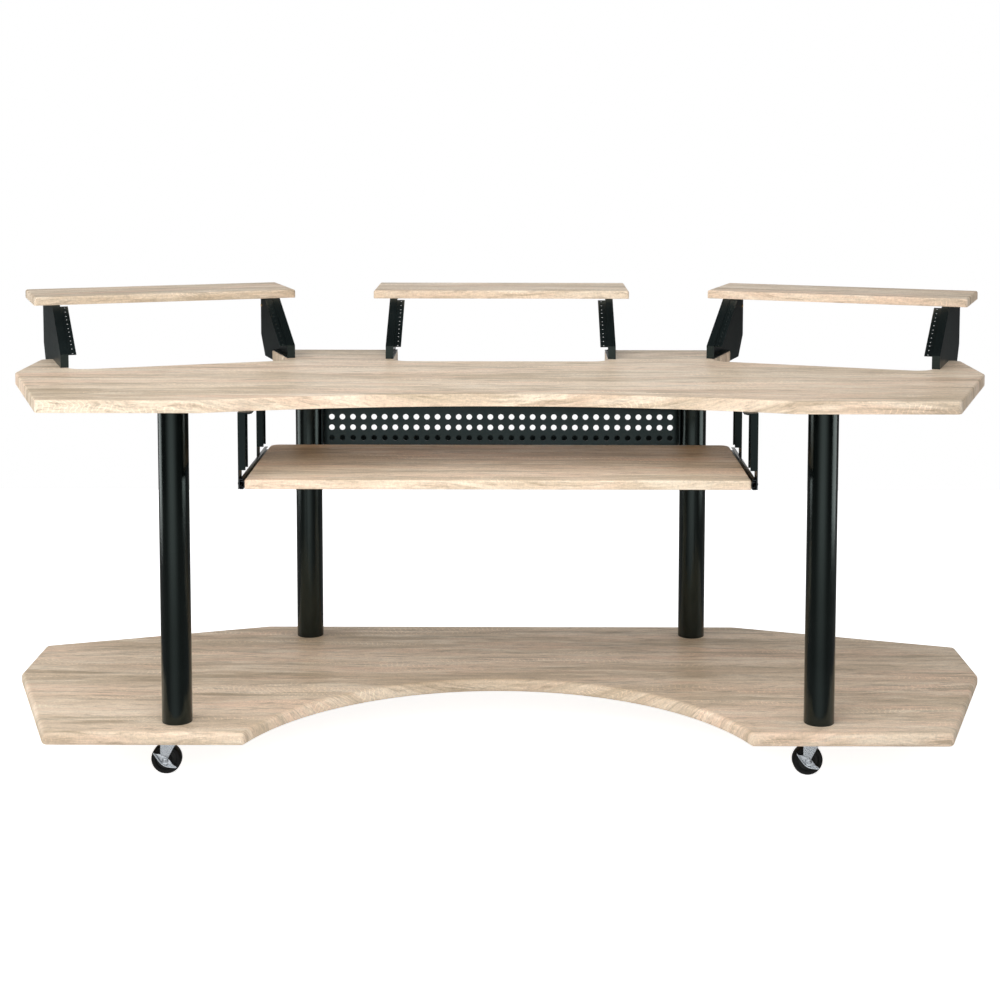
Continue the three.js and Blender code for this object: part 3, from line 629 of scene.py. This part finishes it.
def board(node, outline, top, thickness, upper, lower, number, body, at):
    """A pressed board whose foil runs over its rounded edges. The foil's place is kept at every corner."""
    if signed_area(outline) < 0:
        outline = outline[::-1]
    outward = outward_steps(outline)
    work = bmesh.new()
    foil = work.loops.layers.float_vector.new("foil")
    unroll, levels = {}, []
    away = [number * step for step in FOIL_STEP]
    for inset, z, run in edge_rings(top, thickness, upper, lower):
        level = []
        for p, n in zip(outline, outward):
            spot = p - n * inset
            vertex = work.verts.new((spot.x * MM, spot.y * MM, z * MM))
            base = p - n * upper + n.normalized() * run
            unroll[vertex] = Vector((base.x * MM + away[0], base.y * MM + away[1], away[2]))
            level.append(vertex)
        levels.append(level)
    for above, below in zip(levels, levels[1:]):
        for i in range(len(outline)):
            j = (i + 1) % len(outline)
            work.faces.new((above[j], above[i], below[i], below[j]))
    work.faces.new(levels[0])
    under = work.faces.new(levels[-1][::-1])
    under.material_index = 1
    for face in work.faces:
        face.smooth = True
        for loop in face.loops:
            loop[foil] = unroll[loop.vert]
    for loop in under.loops:
        loop[foil] = loop.vert.co
    work.transform(at)
    name = f"{node}_foil"
    new_piece(name, mesh_from(work, name), (OAK, BACKING), body, (node,))


def side_corners(depth):
    """A wing board's corners at its right end, from the front to the back."""
    side_front = (HALF_WIDTH - FRONT_CORNER_X) / math.tan(WING_TURN)
    return [
        (FRONT_CORNER_X, 0, PLAN_RADIUS),
        (HALF_WIDTH, side_front, PLAN_RADIUS),
        (HALF_WIDTH, depth, PLAN_RADIUS),
    ]


def mirrored(corners):
    return [(-x, y, radius) for x, y, radius in reversed(corners)]


def front_curve(half_width, depth, steps):
    """Points of an arc that is hollow towards the front, from left to right, ends left out."""
    radius = (half_width**2 + depth**2) / (2 * depth)
    reach = math.asin(half_width / radius)
    angles = [reach * (2 * k / steps - 1) for k in range(1, steps)]
    return [(radius * math.sin(a), depth - radius + radius * math.cos(a), 0) for a in angles]


def on_wing(across, behind):
    """A point of the right rack unit's own plan on the desk's plan."""
    c, s = math.cos(WING_TURN), math.sin(WING_TURN)
    x, y, _ = RACKS["right"]
    return Vector((x + across * c + behind * s, y - across * s + behind * c))


def rack_place(name):
    """The matrix of a rack unit, whose origin is the middle of its front on the desktop."""
    x, y, turn = RACKS[name]
    return Matrix.Translation(place(x, y, TOP)) @ Matrix.Rotation(turn, 4, "Z")


def add_boards():
    right = [*side_corners(BASE_SIDE_DEPTH), (BASE_REAR_X, BASE_DEPTH, PLAN_RADIUS)]
    base = rounded([
        (-BAY_HALF_WIDTH, 0, PLAN_RADIUS),
        *front_curve(BAY_HALF_WIDTH, BAY_DEPTH, 96),
        (BAY_HALF_WIDTH, 0, PLAN_RADIUS),
        *right,
        *mirrored(right),
    ])
    board("base_board", base, BASE_TOP, BASE_THICKNESS, BASE_RADIUS, BASE_RADIUS, 1, "frame", PLAN)

    outer, inner = RECESS_HALF_WIDTH, -RECESS_HALF_WIDTH
    wing_back = Vector((math.sin(WING_TURN), math.cos(WING_TURN)))
    outer_lip = on_wing(outer, (Vector((HALF_WIDTH, TOP_SIDE_DEPTH)) - on_wing(outer, 0)).dot(wing_back))
    inner_lip = on_wing(inner, (TOP_DEPTH - on_wing(inner, 0).y) / math.cos(WING_TURN))
    right = [
        *side_corners(TOP_SIDE_DEPTH),
        (*outer_lip, LIP_RADIUS),
        (*on_wing(outer, -RECESS_SETBACK), RECESS_RADIUS),
        (*on_wing(inner, -RECESS_SETBACK), RECESS_RADIUS),
        (*inner_lip, LIP_RADIUS),
        (RECESS_HALF_WIDTH, TOP_DEPTH, LIP_RADIUS),
        (RECESS_HALF_WIDTH, RACKS["centre"][1] - RECESS_SETBACK, RECESS_RADIUS),
    ]
    desktop = rounded([
        (-CURVE_HALF_WIDTH, 0, 0),
        *front_curve(CURVE_HALF_WIDTH, CURVE_DEPTH, 72),
        (CURVE_HALF_WIDTH, 0, 0),
        *right,
        *mirrored(right),
    ])
    board("desktop", desktop, TOP, TOP_THICKNESS, TOP_RADIUS, UNDER_RADIUS, 2, "frame", PLAN)

    tray = rectangle(TRAY_HALF, TRAY_FRONT, TRAY_FRONT + TRAY_DEPTH, TRAY_FRONT_CORNER, TRAY_REAR_CORNER)
    board("keyboard_tray", tray, TRAY_TOP, TRAY_THICKNESS, TRAY_RADIUS, UNDER_RADIUS, 3, "tray", PLAN)

    shelf = rectangle(SHELF_HALF, SHELF_FRONT, SHELF_FRONT + SHELF_DEPTH, SHELF_CORNER, SHELF_CORNER)
    for number, name in enumerate(RACKS, 4):
        board(f"shelf_{name}", shelf, BRACKET_TOP + SHELF_THICKNESS, SHELF_THICKNESS, SHELF_RADIUS,
              UNDER_RADIUS, number, "frame", rack_place(name))


# Fasteners


def pan_head(radius, height):
    """A cross-recessed pan head that stands on XY."""
    sunk, rim, steps = 0.6, 0.35, 6
    profile = [(0, -sunk), (radius, -sunk), (radius, height * rim)]
    for k in range(1, steps):
        angle = math.pi / 2 * k / steps
        profile.append((radius * math.cos(angle), height * (rim + (1 - rim) * math.sin(angle))))
    head = lathe([*profile, (0, height)], 24)
    arm, half_bar, floor = radius * 0.62, radius * 0.1, height * 0.3
    for turn in (0, math.pi / 2):
        bar = extruded(rectangle(arm, -half_bar, half_bar), floor, height * 2, (X_AXIS, Y_AXIS), 0)
        bar.transform(Matrix.Rotation(turn, 4, "Z"))
        head = cut(head, bar)
    return head


def hex_nut(radius, height, bore=0.0):
    """A chamfered hexagon that stands on XY. With a bore, a crowned nut closed by a rounded stud end."""
    nut = extruded(circle(radius, 6), 0, height, (X_AXIS, Y_AXIS), 0.5)
    if not bore:
        return nut
    stud = cylinder(bore, 0, height + 2, 0.8, 24)
    crown = lathe([(0, height - 0.6), (0.9 * radius, height - 0.6), (0.9 * radius, height),
                   (0.6 * radius, height + 0.7), (0.54 * radius, height + 0.1), (0, height + 0.1)], 36)
    return merged(((nut, HERE), (crown, HERE), (stud, HERE)))


def facing(point, direction, spin):
    """A matrix that stands a part's Z on a point of the frame, along the direction."""
    turn = direction.to_track_quat("Z", "Y").to_matrix().to_4x4()
    return Matrix.Translation(point) @ turn @ Matrix.Rotation(spin, 4, "Z")


PAN, SMALL_PAN = pan_head(4.2, 2.6), pan_head(3.2, 1.9)
SCREW_TURN = 0.7


def add_screws(name, spots, head=SMALL_PAN, material=SCREW_BLACK):
    """Screw heads at (point, direction) spots, each turned further than the last."""
    heads = [(head, facing(*spot, SCREW_TURN * i)) for i, spot in enumerate(spots)]
    new_piece(name, smooth(merged(heads), 30), material, "frame")


# Legs


def add_legs():
    seat = UNDERSIDE - FLANGE_THICKNESS
    tube = cylinder(LEG_RADIUS, BASE_TOP, seat, 1.2, 96)
    flange = cylinder(FLANGE_RADIUS, seat, UNDERSIDE, 0.8, 72)
    for name, (x, y) in LEGS.items():
        at = Matrix.Translation(place(x, y, 0))
        for piece, mesh, node in (("leg_tube", tube, "leg"), ("leg_flange", flange, "leg_plate")):
            new_piece(f"{piece}_{name}", moved(mesh, at, 30), STEEL_BLACK, "frame",
                      (f"{node}_{name}",))
        spots = []
        for k in range(4):
            angle = math.pi / 4 + math.pi / 2 * k
            across, behind = FLANGE_SCREW_RADIUS * math.cos(angle), FLANGE_SCREW_RADIUS * math.sin(angle)
            spots.append((place(x + across, y + behind, seat), -Z_AXIS))
        add_screws(f"leg_screws_{name}", spots)
        finish_node(f"leg_plug_{name}", ZINC)


# Rack units


def rail_mesh(side):
    """A rack rail lying flat, its lower end at the front, with chamfered round holes."""
    face = -BRACKET_SHEET - RAIL_CLEARANCE - RAIL_SHEET / 2
    outer = BRACKET_HALF - BRACKET_SHEET - RAIL_CLEARANCE - RAIL_SHEET / 2
    line = [(side * RACK_OPENING_HALF, face), (side * outer, face), (side * outer, face - RAIL_FLANGE)]
    rail = extruded(folded(line, RAIL_SHEET, 2.4), RAIL_END_GAP - RACK_LENGTH, -RAIL_END_GAP,
                    (X_AXIS, Z_AXIS), 0.35)
    bore, chamfer = 1.8, 2.6
    hole = lathe([(0, -3), (bore, -3), (bore, 0.7), (chamfer, 1.5), (chamfer, 4), (0, 4)], 24)
    cutters = []
    for unit in range(RACK_UNITS):
        for share in RACK_HOLES:
            spot = Vector((side * RACK_HOLE_X, (unit + share) * RACK_UNIT, face)) * MM
            cutters.append((hole, Matrix.Translation(spot)))
    return cut(rail, merged(cutters))


def add_racks():
    rails = {hand: rail_mesh(side) for hand, side in SIDES}
    tilt = Matrix.Translation((0, 0, BRACKET_FOOT * MM)) @ Matrix.Rotation(RACK_SLOPE, 4, "X")
    for rack in RACKS:
        unit = rack_place(rack)
        slope = unit @ tilt
        for hand, side in SIDES:
            name = f"{rack}_{hand}"
            new_piece(f"rack_rail_drilled_{name}", moved(rails[hand], slope), SHEET_BLACK, "frame",
                      (f"rack_rail_{name}",))
            soften_node(f"bracket_{name}", 0.7, SHEET_BLACK)
            inward = Vector((-side, 0, 0))
            flange, inside = side * (BRACKET_HALF - FLANGE_SCREW_INSET), side * (BRACKET_HALF - BRACKET_SHEET)
            spots = []
            for behind in FOOT_SCREWS:
                spots.append((unit @ (Vector((flange, behind, BRACKET_SHEET)) * MM), Z_AXIS))
            for behind in HEAD_SCREWS:
                spots.append((unit @ (Vector((flange, behind, BRACKET_TOP - BRACKET_SHEET)) * MM), -Z_AXIS))
            for along in RAIL_SCREWS:
                local = Vector((inside - side * (RAIL_SHEET + RAIL_CLEARANCE), along, -RAIL_SCREW_DEPTH)) * MM
                spots.append((slope @ local, slope.to_3x3() @ inward))
            add_screws(f"rack_screws_{name}", spots)
            rivet = unit @ (Vector((inside, RIVET_BEHIND, RIVET_HEIGHT)) * MM)
            add_screws(f"bracket_rivet_{name}", [(rivet, unit.to_3x3() @ inward)], material=BRASS)


# Keyboard tray: slides and hangers


def add_slides():
    work = bmesh.new()
    bmesh.ops.create_uvsphere(work, u_segments=20, v_segments=12, radius=BALL_RADIUS * MM)
    ball = mesh_from(work, "ball")
    for hand, side in SIDES:
        for which, body, length, lips, web, half, radius in SLIDE_CHANNELS:
            corners = ((lips, half), (web, half), (web, -half), (lips, -half))
            section = folded([(side * x, SLIDE_MIDDLE + z) for x, z in corners], SLIDE_SHEET, radius)
            mesh = extruded(section, -(SLIDE_START + length), -SLIDE_START, (X_AXIS, Z_AXIS), 0.25)
            mesh.transform(PLAN)
            new_piece(f"slide_{which}_rail_{hand}", mesh, SLIDE_STEEL, body,
                      (f"slide_{which}_{hand}",))
        soften_node(f"slide_cage_{hand}", 0.2, ZINC)
        low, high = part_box(f"slide_cage_{hand}")
        balls = []
        for k in range(BALLS_IN_ROW):
            y = low.y + (high.y - low.y) * (k + 0.5) / BALLS_IN_ROW
            for rise in (-BALL_RISE, BALL_RISE):
                spot = (side * BALL_X * MM, y, (SLIDE_MIDDLE + rise) * MM)
                balls.append((ball, Matrix.Translation(spot)))
        new_piece(f"slide_balls_{hand}", smooth(merged(balls), 60), STEEL_BALL, "ball_cages")
        for which, front in zip(("front", "rear"), HANGER_FRONTS):
            soften_node(f"hanger_{which}_{hand}", 0.8, SHADED_HANGER_BLACK)
            middle = front + HANGER_DEPTH / 2
            spots = []
            for dy in HANGER_SIDE_SCREWS:
                spots.append((place(side * HANGER_OUTSIDE, middle + dy, SLIDE_MIDDLE), X_AXIS * side))
            across = side * (HANGER_OUTSIDE - HANGER_SCREW_INSET)
            for dy in HANGER_TOP_SCREWS:
                spots.append((place(across, middle + dy, UNDERSIDE - HANGER_SHEET), -Z_AXIS))
            add_screws(f"hanger_screws_{which}_{hand}", spots)


# Cable tray


def add_cable_tray():
    half_sheet = CABLE_SHEET / 2
    wall, floor, back = CABLE_WALL_Y - half_sheet, CABLE_LOW + half_sheet, CABLE_BACK_Y
    line = [(wall, CABLE_TOP), (wall, floor), (back, floor), (back, CABLE_LOW + CABLE_LIP)]
    half = CABLE_HALF - CABLE_SHEET
    trough = extruded(folded(line, CABLE_SHEET, 3.2), -half, half, (Y_AXIS, Z_AXIS), 0.3)
    hole = cylinder(CABLE_HOLE, -6, 6, 0.01, 28, 1)
    cutters = []
    middle = (CABLE_LOW + CABLE_TOP) / 2
    for column in range(CABLE_COLUMNS):
        for row in range(CABLE_ROWS):
            x = (column - (CABLE_COLUMNS - 1) / 2) * CABLE_PITCH
            z = middle + (row - (CABLE_ROWS - 1) / 2) * CABLE_PITCH
            spot = Vector((x, wall, z)) * MM
            cutters.append((hole, Matrix.Translation(spot) @ TO_FRONT))
    parts = [(cut(trough, merged(cutters)), PLAN)]
    flange = CABLE_WALL_Y - CABLE_FLANGE
    ear = plate(rounded([(flange, CABLE_LOW, CABLE_EAR_RADIUS), (CABLE_WALL_Y, CABLE_LOW, 0),
                         (CABLE_WALL_Y, CABLE_TOP, 0), (flange, CABLE_TOP, CABLE_EAR_RADIUS)]), CABLE_SHEET)
    # the ear's X runs to the back, its Y up and its thickness across
    turn = Matrix(((0, 0, 1, 0), (1, 0, 0, 0), (0, 1, 0, 0), (0, 0, 0, 1)))
    for _, side in SIDES:
        parts.append((ear, PLAN @ Matrix.Translation((side * (CABLE_HALF - half_sheet) * MM, 0, 0)) @ turn))
    new_piece("cable_tray_folded", smooth(merged(parts), 35), SHEET_BLACK, "frame",
              ("cable_tray",))
    spots = []
    for _, side in SIDES:
        for z in CABLE_SCREW_HEIGHTS:
            spots.append((place(side * half, CABLE_SCREW_Y, z), X_AXIS * -side))
    add_screws("cable_tray_screws", spots, PAN)


# Casters


def bent_strip(path, edges, thickness):
    """A strip of sheet along a path of (y, z) points, between (rear x, front x) edges at each point."""
    columns = 10
    wide = columns + 1
    points, faces = [], []
    for (y, z), (rear, front) in zip(path, edges):
        for k in range(wide):
            points.append((rear + (front - rear) * k / columns, y, z))
    for i in range(len(path) - 1):
        for k in range(columns):
            a = i * wide + k
            faces.append([a, a + 1, a + 1 + wide, a + wide])
    obj = loose(mesh_of(points, faces))
    thick = obj.modifiers.new("thick", "SOLIDIFY")
    thick.thickness, thick.offset, thick.use_even_offset = thickness * MM, 0, True
    add_bevel(obj, 0.9, 3, 50)
    return applied(obj)


def fork_mesh():
    """One pressed sheet: two side plates that narrow to the axle, and a top under the swivel."""
    middle = FORK_INSIDE + FORK_SHEET / 2
    top = FORK_TOP - FORK_SHEET / 2
    radius, eye, eye_steps, radius_steps = 4.5, 6.4, 9, 6
    knee_rise, knee_bulge, front_start, front_lean, flare_start, flare_rate = 9, 3.6, 2.9, 0.52, 56, 0.045
    half = []
    for k in range(eye_steps + 1):
        half.append((-middle, AXLE_Z - eye * math.sin(math.pi / 2 * (1 - k / eye_steps))))
    for z in (32, 34, 36, 39, 43, 47, 51, 55, 58.5, top - radius):
        half.append((-middle, z))
    for k in range(1, radius_steps + 1):
        angle = math.pi / 2 * k / radius_steps
        half.append((-middle + radius * (1 - math.cos(angle)), top - radius + radius * math.sin(angle)))
    path = half + [(-y, z) for y, z in reversed(half)]

    def edges(z):
        """The sheet's rear and front edge: round the axle's eye, then wider and leaning to the front."""
        rise = z - AXLE_Z
        if rise < 0:
            reach = math.sqrt(max(eye * eye - rise * rise, 0.6))
            return -CASTER_TRAIL - reach, -CASTER_TRAIL + reach
        knee = min(1, rise / knee_rise)
        rear = -CASTER_TRAIL - eye - knee_bulge * (1 - (1 - knee) ** 2)
        reach = max(math.sqrt(max(eye * eye - rise * rise, 0)), front_start + front_lean * rise)
        return rear, -CASTER_TRAIL + reach + flare_rate * max(z - flare_start, 0) ** 2

    sheet = bent_strip(path, [edges(z) for _, z in path], FORK_SHEET)
    cap = plate(rounded([(-16, -9.4, 3), (10, -9.4, 8), (16, 0, 8), (10, 9.4, 8), (-16, 9.4, 3)]),
                FORK_SHEET * 0.99, edge=0.5)
    return merged(((sheet, HERE), (cap, Matrix.Translation((0, 0, top * MM)))))


def cut_corners(points):
    """A line whose corners are cut twice, each time at a quarter of both sides."""
    for _ in range(2):
        refined = [points[0]]
        for a, b in zip(points, points[1:]):
            refined.append((a[0] * 0.75 + b[0] * 0.25, a[1] * 0.75 + b[1] * 0.25))
            refined.append((a[0] * 0.25 + b[0] * 0.75, a[1] * 0.25 + b[1] * 0.75))
        points = [*refined, points[-1]]
    return points


def lever_mesh():
    """The pressed brake lever about the axle: a curved plate with a raised lower rim and a tread on it."""
    inside = FORK_OUTSIDE + AXLE_CLEARANCE
    outside = inside + LEVER_SHEET
    upper = [(-24, 18.4), (-21, 15.2), (-18.4, 13.2), (-15.4, 13.6), (-12, 13.4), (-8.5, 11.4), (-4, 9.4),
             (0, 8.2), (4, 6), (8, 2), (11, -2.2), (13.2, -5.4), (17, -8.8), (20.4, -11.4)]
    lower = [(23.4, -13.4), (18, -13), (11.9, -12.4), (6, -11.6), (1.5, -10.4), (-3, -8.4), (-7.1, -5.4),
             (-11, -1.2), (-14.8, 4), (-19.4, 10.6)]
    ring = cut_corners([*upper, *lower, upper[0]])[:-1]
    web = plate([Vector(p) for p in ring], LEVER_SHEET, [circle(4.3)], 0.4)
    rim_sheet, rim_rise = 1.8, 3.2
    rim = folded(cut_corners([(22.6, -12.6), *lower[1:], (-23, 16.4)]), rim_sheet, 0.01, 1)
    lip = extruded(rim, inside + 0.2, outside + rim_rise, (X_AXIS, Z_AXIS), 0.7)
    tread = plate(rectangle(4.2, -2.2, 2.2, 1.2, 1.2), rim_sheet, edge=0.6)
    toe = Vector((14.6, -(outside + rim_rise / 2), -9.4)) * MM
    toe_place = Matrix.Translation(toe) @ Matrix.Rotation(math.radians(33), 4, "Y")
    parts = (
        (web, Matrix.Translation((0, -(inside + LEVER_SHEET / 2) * MM, 0)) @ TO_FRONT),
        (lip, HERE),
        (tread, toe_place @ TO_FRONT),
    )
    return smooth(merged(parts), 40)


def wheel_meshes():
    """The tyre and the moulded core, about the Y axis at the origin."""
    r = WHEEL_RADIUS
    tyre = [(r - 8, -11), (r - 3, -11), (r - 1, -9.6), (r - 0.1, -7), (r, -3), (r, 3), (r - 0.1, 7),
            (r - 1, 9.6), (r - 3, 11), (r - 8, 11), (r - 8.6, 10.4), (r - 8.6, -10.4)]
    half_core = [(4.4, 12.8), (10, 12.8), (10.6, 12.2), (12, 8.6), (13.6, 8.2), (r - 10.6, 8.5),
                 (r - 9.6, 10), (r - 8.8, 9.8)]
    core = [(radius, -height) for radius, height in reversed(half_core)] + half_core
    meshes = [lathe(profile, 96, True) for profile in (tyre, core)]
    for mesh in meshes:
        mesh.transform(TO_FRONT)
    return meshes


def axle_mesh(braked):
    """The axle's pin, washer, crowned nut at the front and bolt head at the back, about the Y axis."""
    bolt_seat = FORK_OUTSIDE + AXLE_CLEARANCE
    seat = FORK_OUTSIDE + (LEVER_SHEET + 2 * AXLE_CLEARANCE if braked else AXLE_CLEARANCE)
    nut_place = Matrix.Translation((0, -(seat + WASHER_THICKNESS) * MM, 0))
    return merged((
        (cylinder(4, -bolt_seat, seat, 0.2, 32), TO_FRONT),
        (cylinder(6.8, 0, WASHER_THICKNESS, 0.25, 40), Matrix.Translation((0, -seat * MM, 0)) @ TO_FRONT),
        (hex_nut(6.6, 3.6, 2.5), nut_place @ TO_FRONT @ Matrix.Rotation(0.3, 4, "Z")),
        (hex_nut(6.3, 4.4), Matrix.Translation((0, bolt_seat * MM, 0)) @ TO_FRONT.inverted()),
    ))


def add_casters():
    fork, lever = fork_mesh(), lever_mesh()
    tyre, core = wheel_meshes()
    axles = {braked: axle_mesh(braked) for braked in (True, False)}
    stem = lathe(softened([
        (0, 62.5), (8, 62.5), (8, 65.2), (5, 65.2), (5, 68.3), (15, 68.3), (16.2, 70), (15, 74), (20, 74),
        (20, 77), (5, 77), (5, 118), (0, 118),
    ], 0.6, 3), 64)
    for name, (x, y) in LEGS.items():
        at = Matrix.Translation(place(x, y, 0))
        axle_at = Matrix.Translation(place(x - CASTER_TRAIL, y, AXLE_Z))
        braked = name.startswith("front")
        new_piece(f"caster_stem_turned_{name}", moved(stem, at), ZINC, "frame",
                  (f"caster_stem_{name}",))
        new_piece(f"caster_fork_pressed_{name}", moved(fork, at), ZINC, f"fork_{name}",
                  (f"caster_fork_{name}",))
        new_piece(f"caster_tyre_{name}", moved(tyre, axle_at), TYRE, f"wheel_{name}",
                  (f"caster_wheel_{name}",))
        new_piece(f"caster_core_{name}", moved(core, axle_at), CORE, f"wheel_{name}")
        new_piece(f"caster_axle_bolt_{name}", moved(axles[braked], axle_at), ZINC, f"fork_{name}",
                  (f"caster_axle_{name}",))
        if braked:
            new_piece(f"brake_lever_pressed_{name}", merged([(lever, axle_at)]), ZINC, f"brake_{name}",
                      (f"brake_lever_{name}",))


# Studio, in metres

AMBIENT = 0.54
FLOOR_HALF_WIDTH, FLOOR_FRONT, FLOOR_BACK = 1.8, -3.4, 2.4
FLOOR_GREY, FLOOR_ROUGHNESS, FLOOR_LIFT = 0.88, 0.9, 0.87
WHITE, NEUTRAL = (1.0, 0.995, 0.985), (1.0, 1.0, 1.0)
# Soft lamps that light the desk: name, place, aim, width and height in metres, watts and colour
LAMPS = (
    ("left_front", (-1.5, -2.2, 2.2), (0.0, 0.0, 0.5), (1.2, 1.2), 15.8, WHITE),
    ("near_front", (0.0, -1.3, 0.7), (0.0, 0.0, 0.6), (0.8, 0.4), 1.9, WHITE),
    ("front", (0.0, -2.2, 2.2), (0.0, 0.0, 0.5), (1.2, 1.2), 13.5, WHITE),
    ("top", (0.0, -1.2, 2.6), (0.0, 0.0, 0.5), (1.2, 1.2), 8.0, WHITE),
    ("left", (-2.8, -0.9, 1.3), (0.0, 0.0, 0.4), (1.2, 1.2), 17.5, WHITE),
    ("right", (2.8, -0.9, 1.6), (0.0, 0.0, 0.5), (1.2, 1.2), 1.2, WHITE),
)
# Bright cards beside the desk that only show in polished surfaces
CARDS = (
    ("left_card", (-3.0, 0.35, 1.0), (0.0, 0.35, 1.0), (1.5, 2.0), 26.0, NEUTRAL),
    ("right_card", (3.0, -0.55, 1.0), (0.0, -0.55, 1.0), (1.7, 2.0), 30.0, NEUTRAL),
)
# The photograph is level with its middle far below the horizon. A small tilt replaces part of that
# shift, so that the other views keep the whole desk in the picture.
CAMERA_PLACE = (0.0354, -4.0273, 1.298)
CAMERA_YAW, CAMERA_PITCH, CAMERA_ROLL = math.radians(0.1087), math.radians(4.9528), math.radians(0.0852)
CAMERA_SENSOR, CAMERA_LENS_SHARE, CAMERA_CLIP = 36, 1.8558, 60
CAMERA_SHIFT = (-0.0130, -0.22)


def add_world():
    """White for the camera. Polished surfaces see white behind the desk and a soft window in front of it."""
    SCENE.world = bpy.data.worlds.new("studio")
    SCENE.world.use_nodes = True
    w = Nodes(SCENE.world.node_tree)
    w.tree.nodes.clear()
    # each ramp's limits are coordinates of the direction that a reflection looks in
    direction = w.add("TexCoord").outputs["Generated"]
    x, y, z = w.add("SeparateXYZ", {0: direction}).outputs
    behind = w.ramp(y, 0.93, 0.98)
    aside = w.maths("ABSOLUTE", w.plus(x, w.times(y, -0.12)))
    window = w.times(w.ramp(aside, 0.08, 0.78, 1.0, 0.0), w.ramp(y, -0.4, 0.0, 1.0, 0.0))
    level = w.times(w.ramp(z, -0.3, -0.17, 0.34, 1.1), w.ramp(z, 0.25, 0.6, 1.0, 0.1))
    overhead_edges = w.times(w.ramp(y, -0.5, -0.2, 1.0, 0.0), w.ramp(z, 0.86, 0.95, 1.0, 0.0))
    overhead = w.times(w.ramp(z, 0.42, 0.6, 0.0, 3.2), overhead_edges)
    walls, floor_glow = w.ramp(z, -0.25, -0.05, 0.18, 0.03), w.ramp(z, -0.75, -0.4, 0.9, 0.0)
    room = w.plus(w.plus(w.plus(w.times(window, level), walls), overhead), floor_glow)

    def backdrop(strength):
        return w.add("Background", {"Color": (1, 1, 1), "Strength": strength}).outputs[0]

    def switch(rays, otherwise, then):
        return w.add("MixShader", {0: rays, 1: otherwise, 2: then}).outputs[0]

    shown = switch(w.rays("Is Camera Ray", "Is Transmission Ray"), backdrop(AMBIENT), backdrop(1.0))
    seen = switch(w.rays("Is Glossy Ray"), shown, backdrop(w.maths("MAXIMUM", behind, room)))
    w.add("OutputWorld", {"Surface": seen})


def add_floor():
    """A pale floor that the camera sees as nearly white."""
    w, front, back = FLOOR_HALF_WIDTH, FLOOR_FRONT, FLOOR_BACK
    floor = bpy.data.meshes.new("floor")
    floor.from_pydata([(-w, front, 0), (w, front, 0), (w, back, 0), (-w, back, 0)], [], [(0, 1, 2, 3)])
    obj = bpy.data.objects.new("floor", floor)
    SCENE.collection.objects.link(obj)
    obj.visible_glossy = False
    pale = Shader("studio_floor", (FLOOR_GREY,) * 3, FLOOR_ROUGHNESS)
    pale.give("Specular IOR Level", 0.1)
    pale.give("Emission Color", (1, 1, 1))
    pale.give("Emission Strength", pale.times(pale.rays("Is Camera Ray", "Is Transmission Ray"), FLOOR_LIFT))
    floor.materials.append(pale.material)


def add_lamps():
    for name, at, aim, size, power, tint in (*LAMPS, *CARDS):
        lamp = bpy.data.lights.new(name, "AREA")
        lamp.shape, lamp.size, lamp.size_y = "RECTANGLE", *size
        lamp.energy, lamp.color = power, tint
        obj = bpy.data.objects.new(name, lamp)
        obj.location = at
        obj.rotation_mode = "QUATERNION"
        obj.rotation_quaternion = (Vector(aim) - Vector(at)).to_track_quat("-Z", "Y")
        obj.visible_camera = False
        obj.visible_glossy = name.endswith("card")
        obj.visible_diffuse = not obj.visible_glossy
        SCENE.collection.objects.link(obj)


def add_camera():
    data = bpy.data.cameras.new("camera")
    data.sensor_width, data.lens = CAMERA_SENSOR, CAMERA_LENS_SHARE * CAMERA_SENSOR
    data.shift_x, data.shift_y = CAMERA_SHIFT
    data.clip_end = CAMERA_CLIP
    camera = bpy.data.objects.new("camera", data)
    camera.location = CAMERA_PLACE
    turn = Matrix.Rotation(CAMERA_YAW, 3, "Z") @ Matrix.Rotation(math.pi / 2 - CAMERA_PITCH, 3, "X")
    camera.rotation_mode = "QUATERNION"
    camera.rotation_quaternion = (turn @ Matrix.Rotation(CAMERA_ROLL, 3, "Z")).to_quaternion()
    SCENE.collection.objects.link(camera)
    SCENE.camera = camera


SCENE.view_settings.view_transform = "Standard"
add_boards()
add_legs()
add_racks()
add_slides()
add_cable_tray()
add_casters()
add_world()
add_floor()
add_lamps()
add_camera()
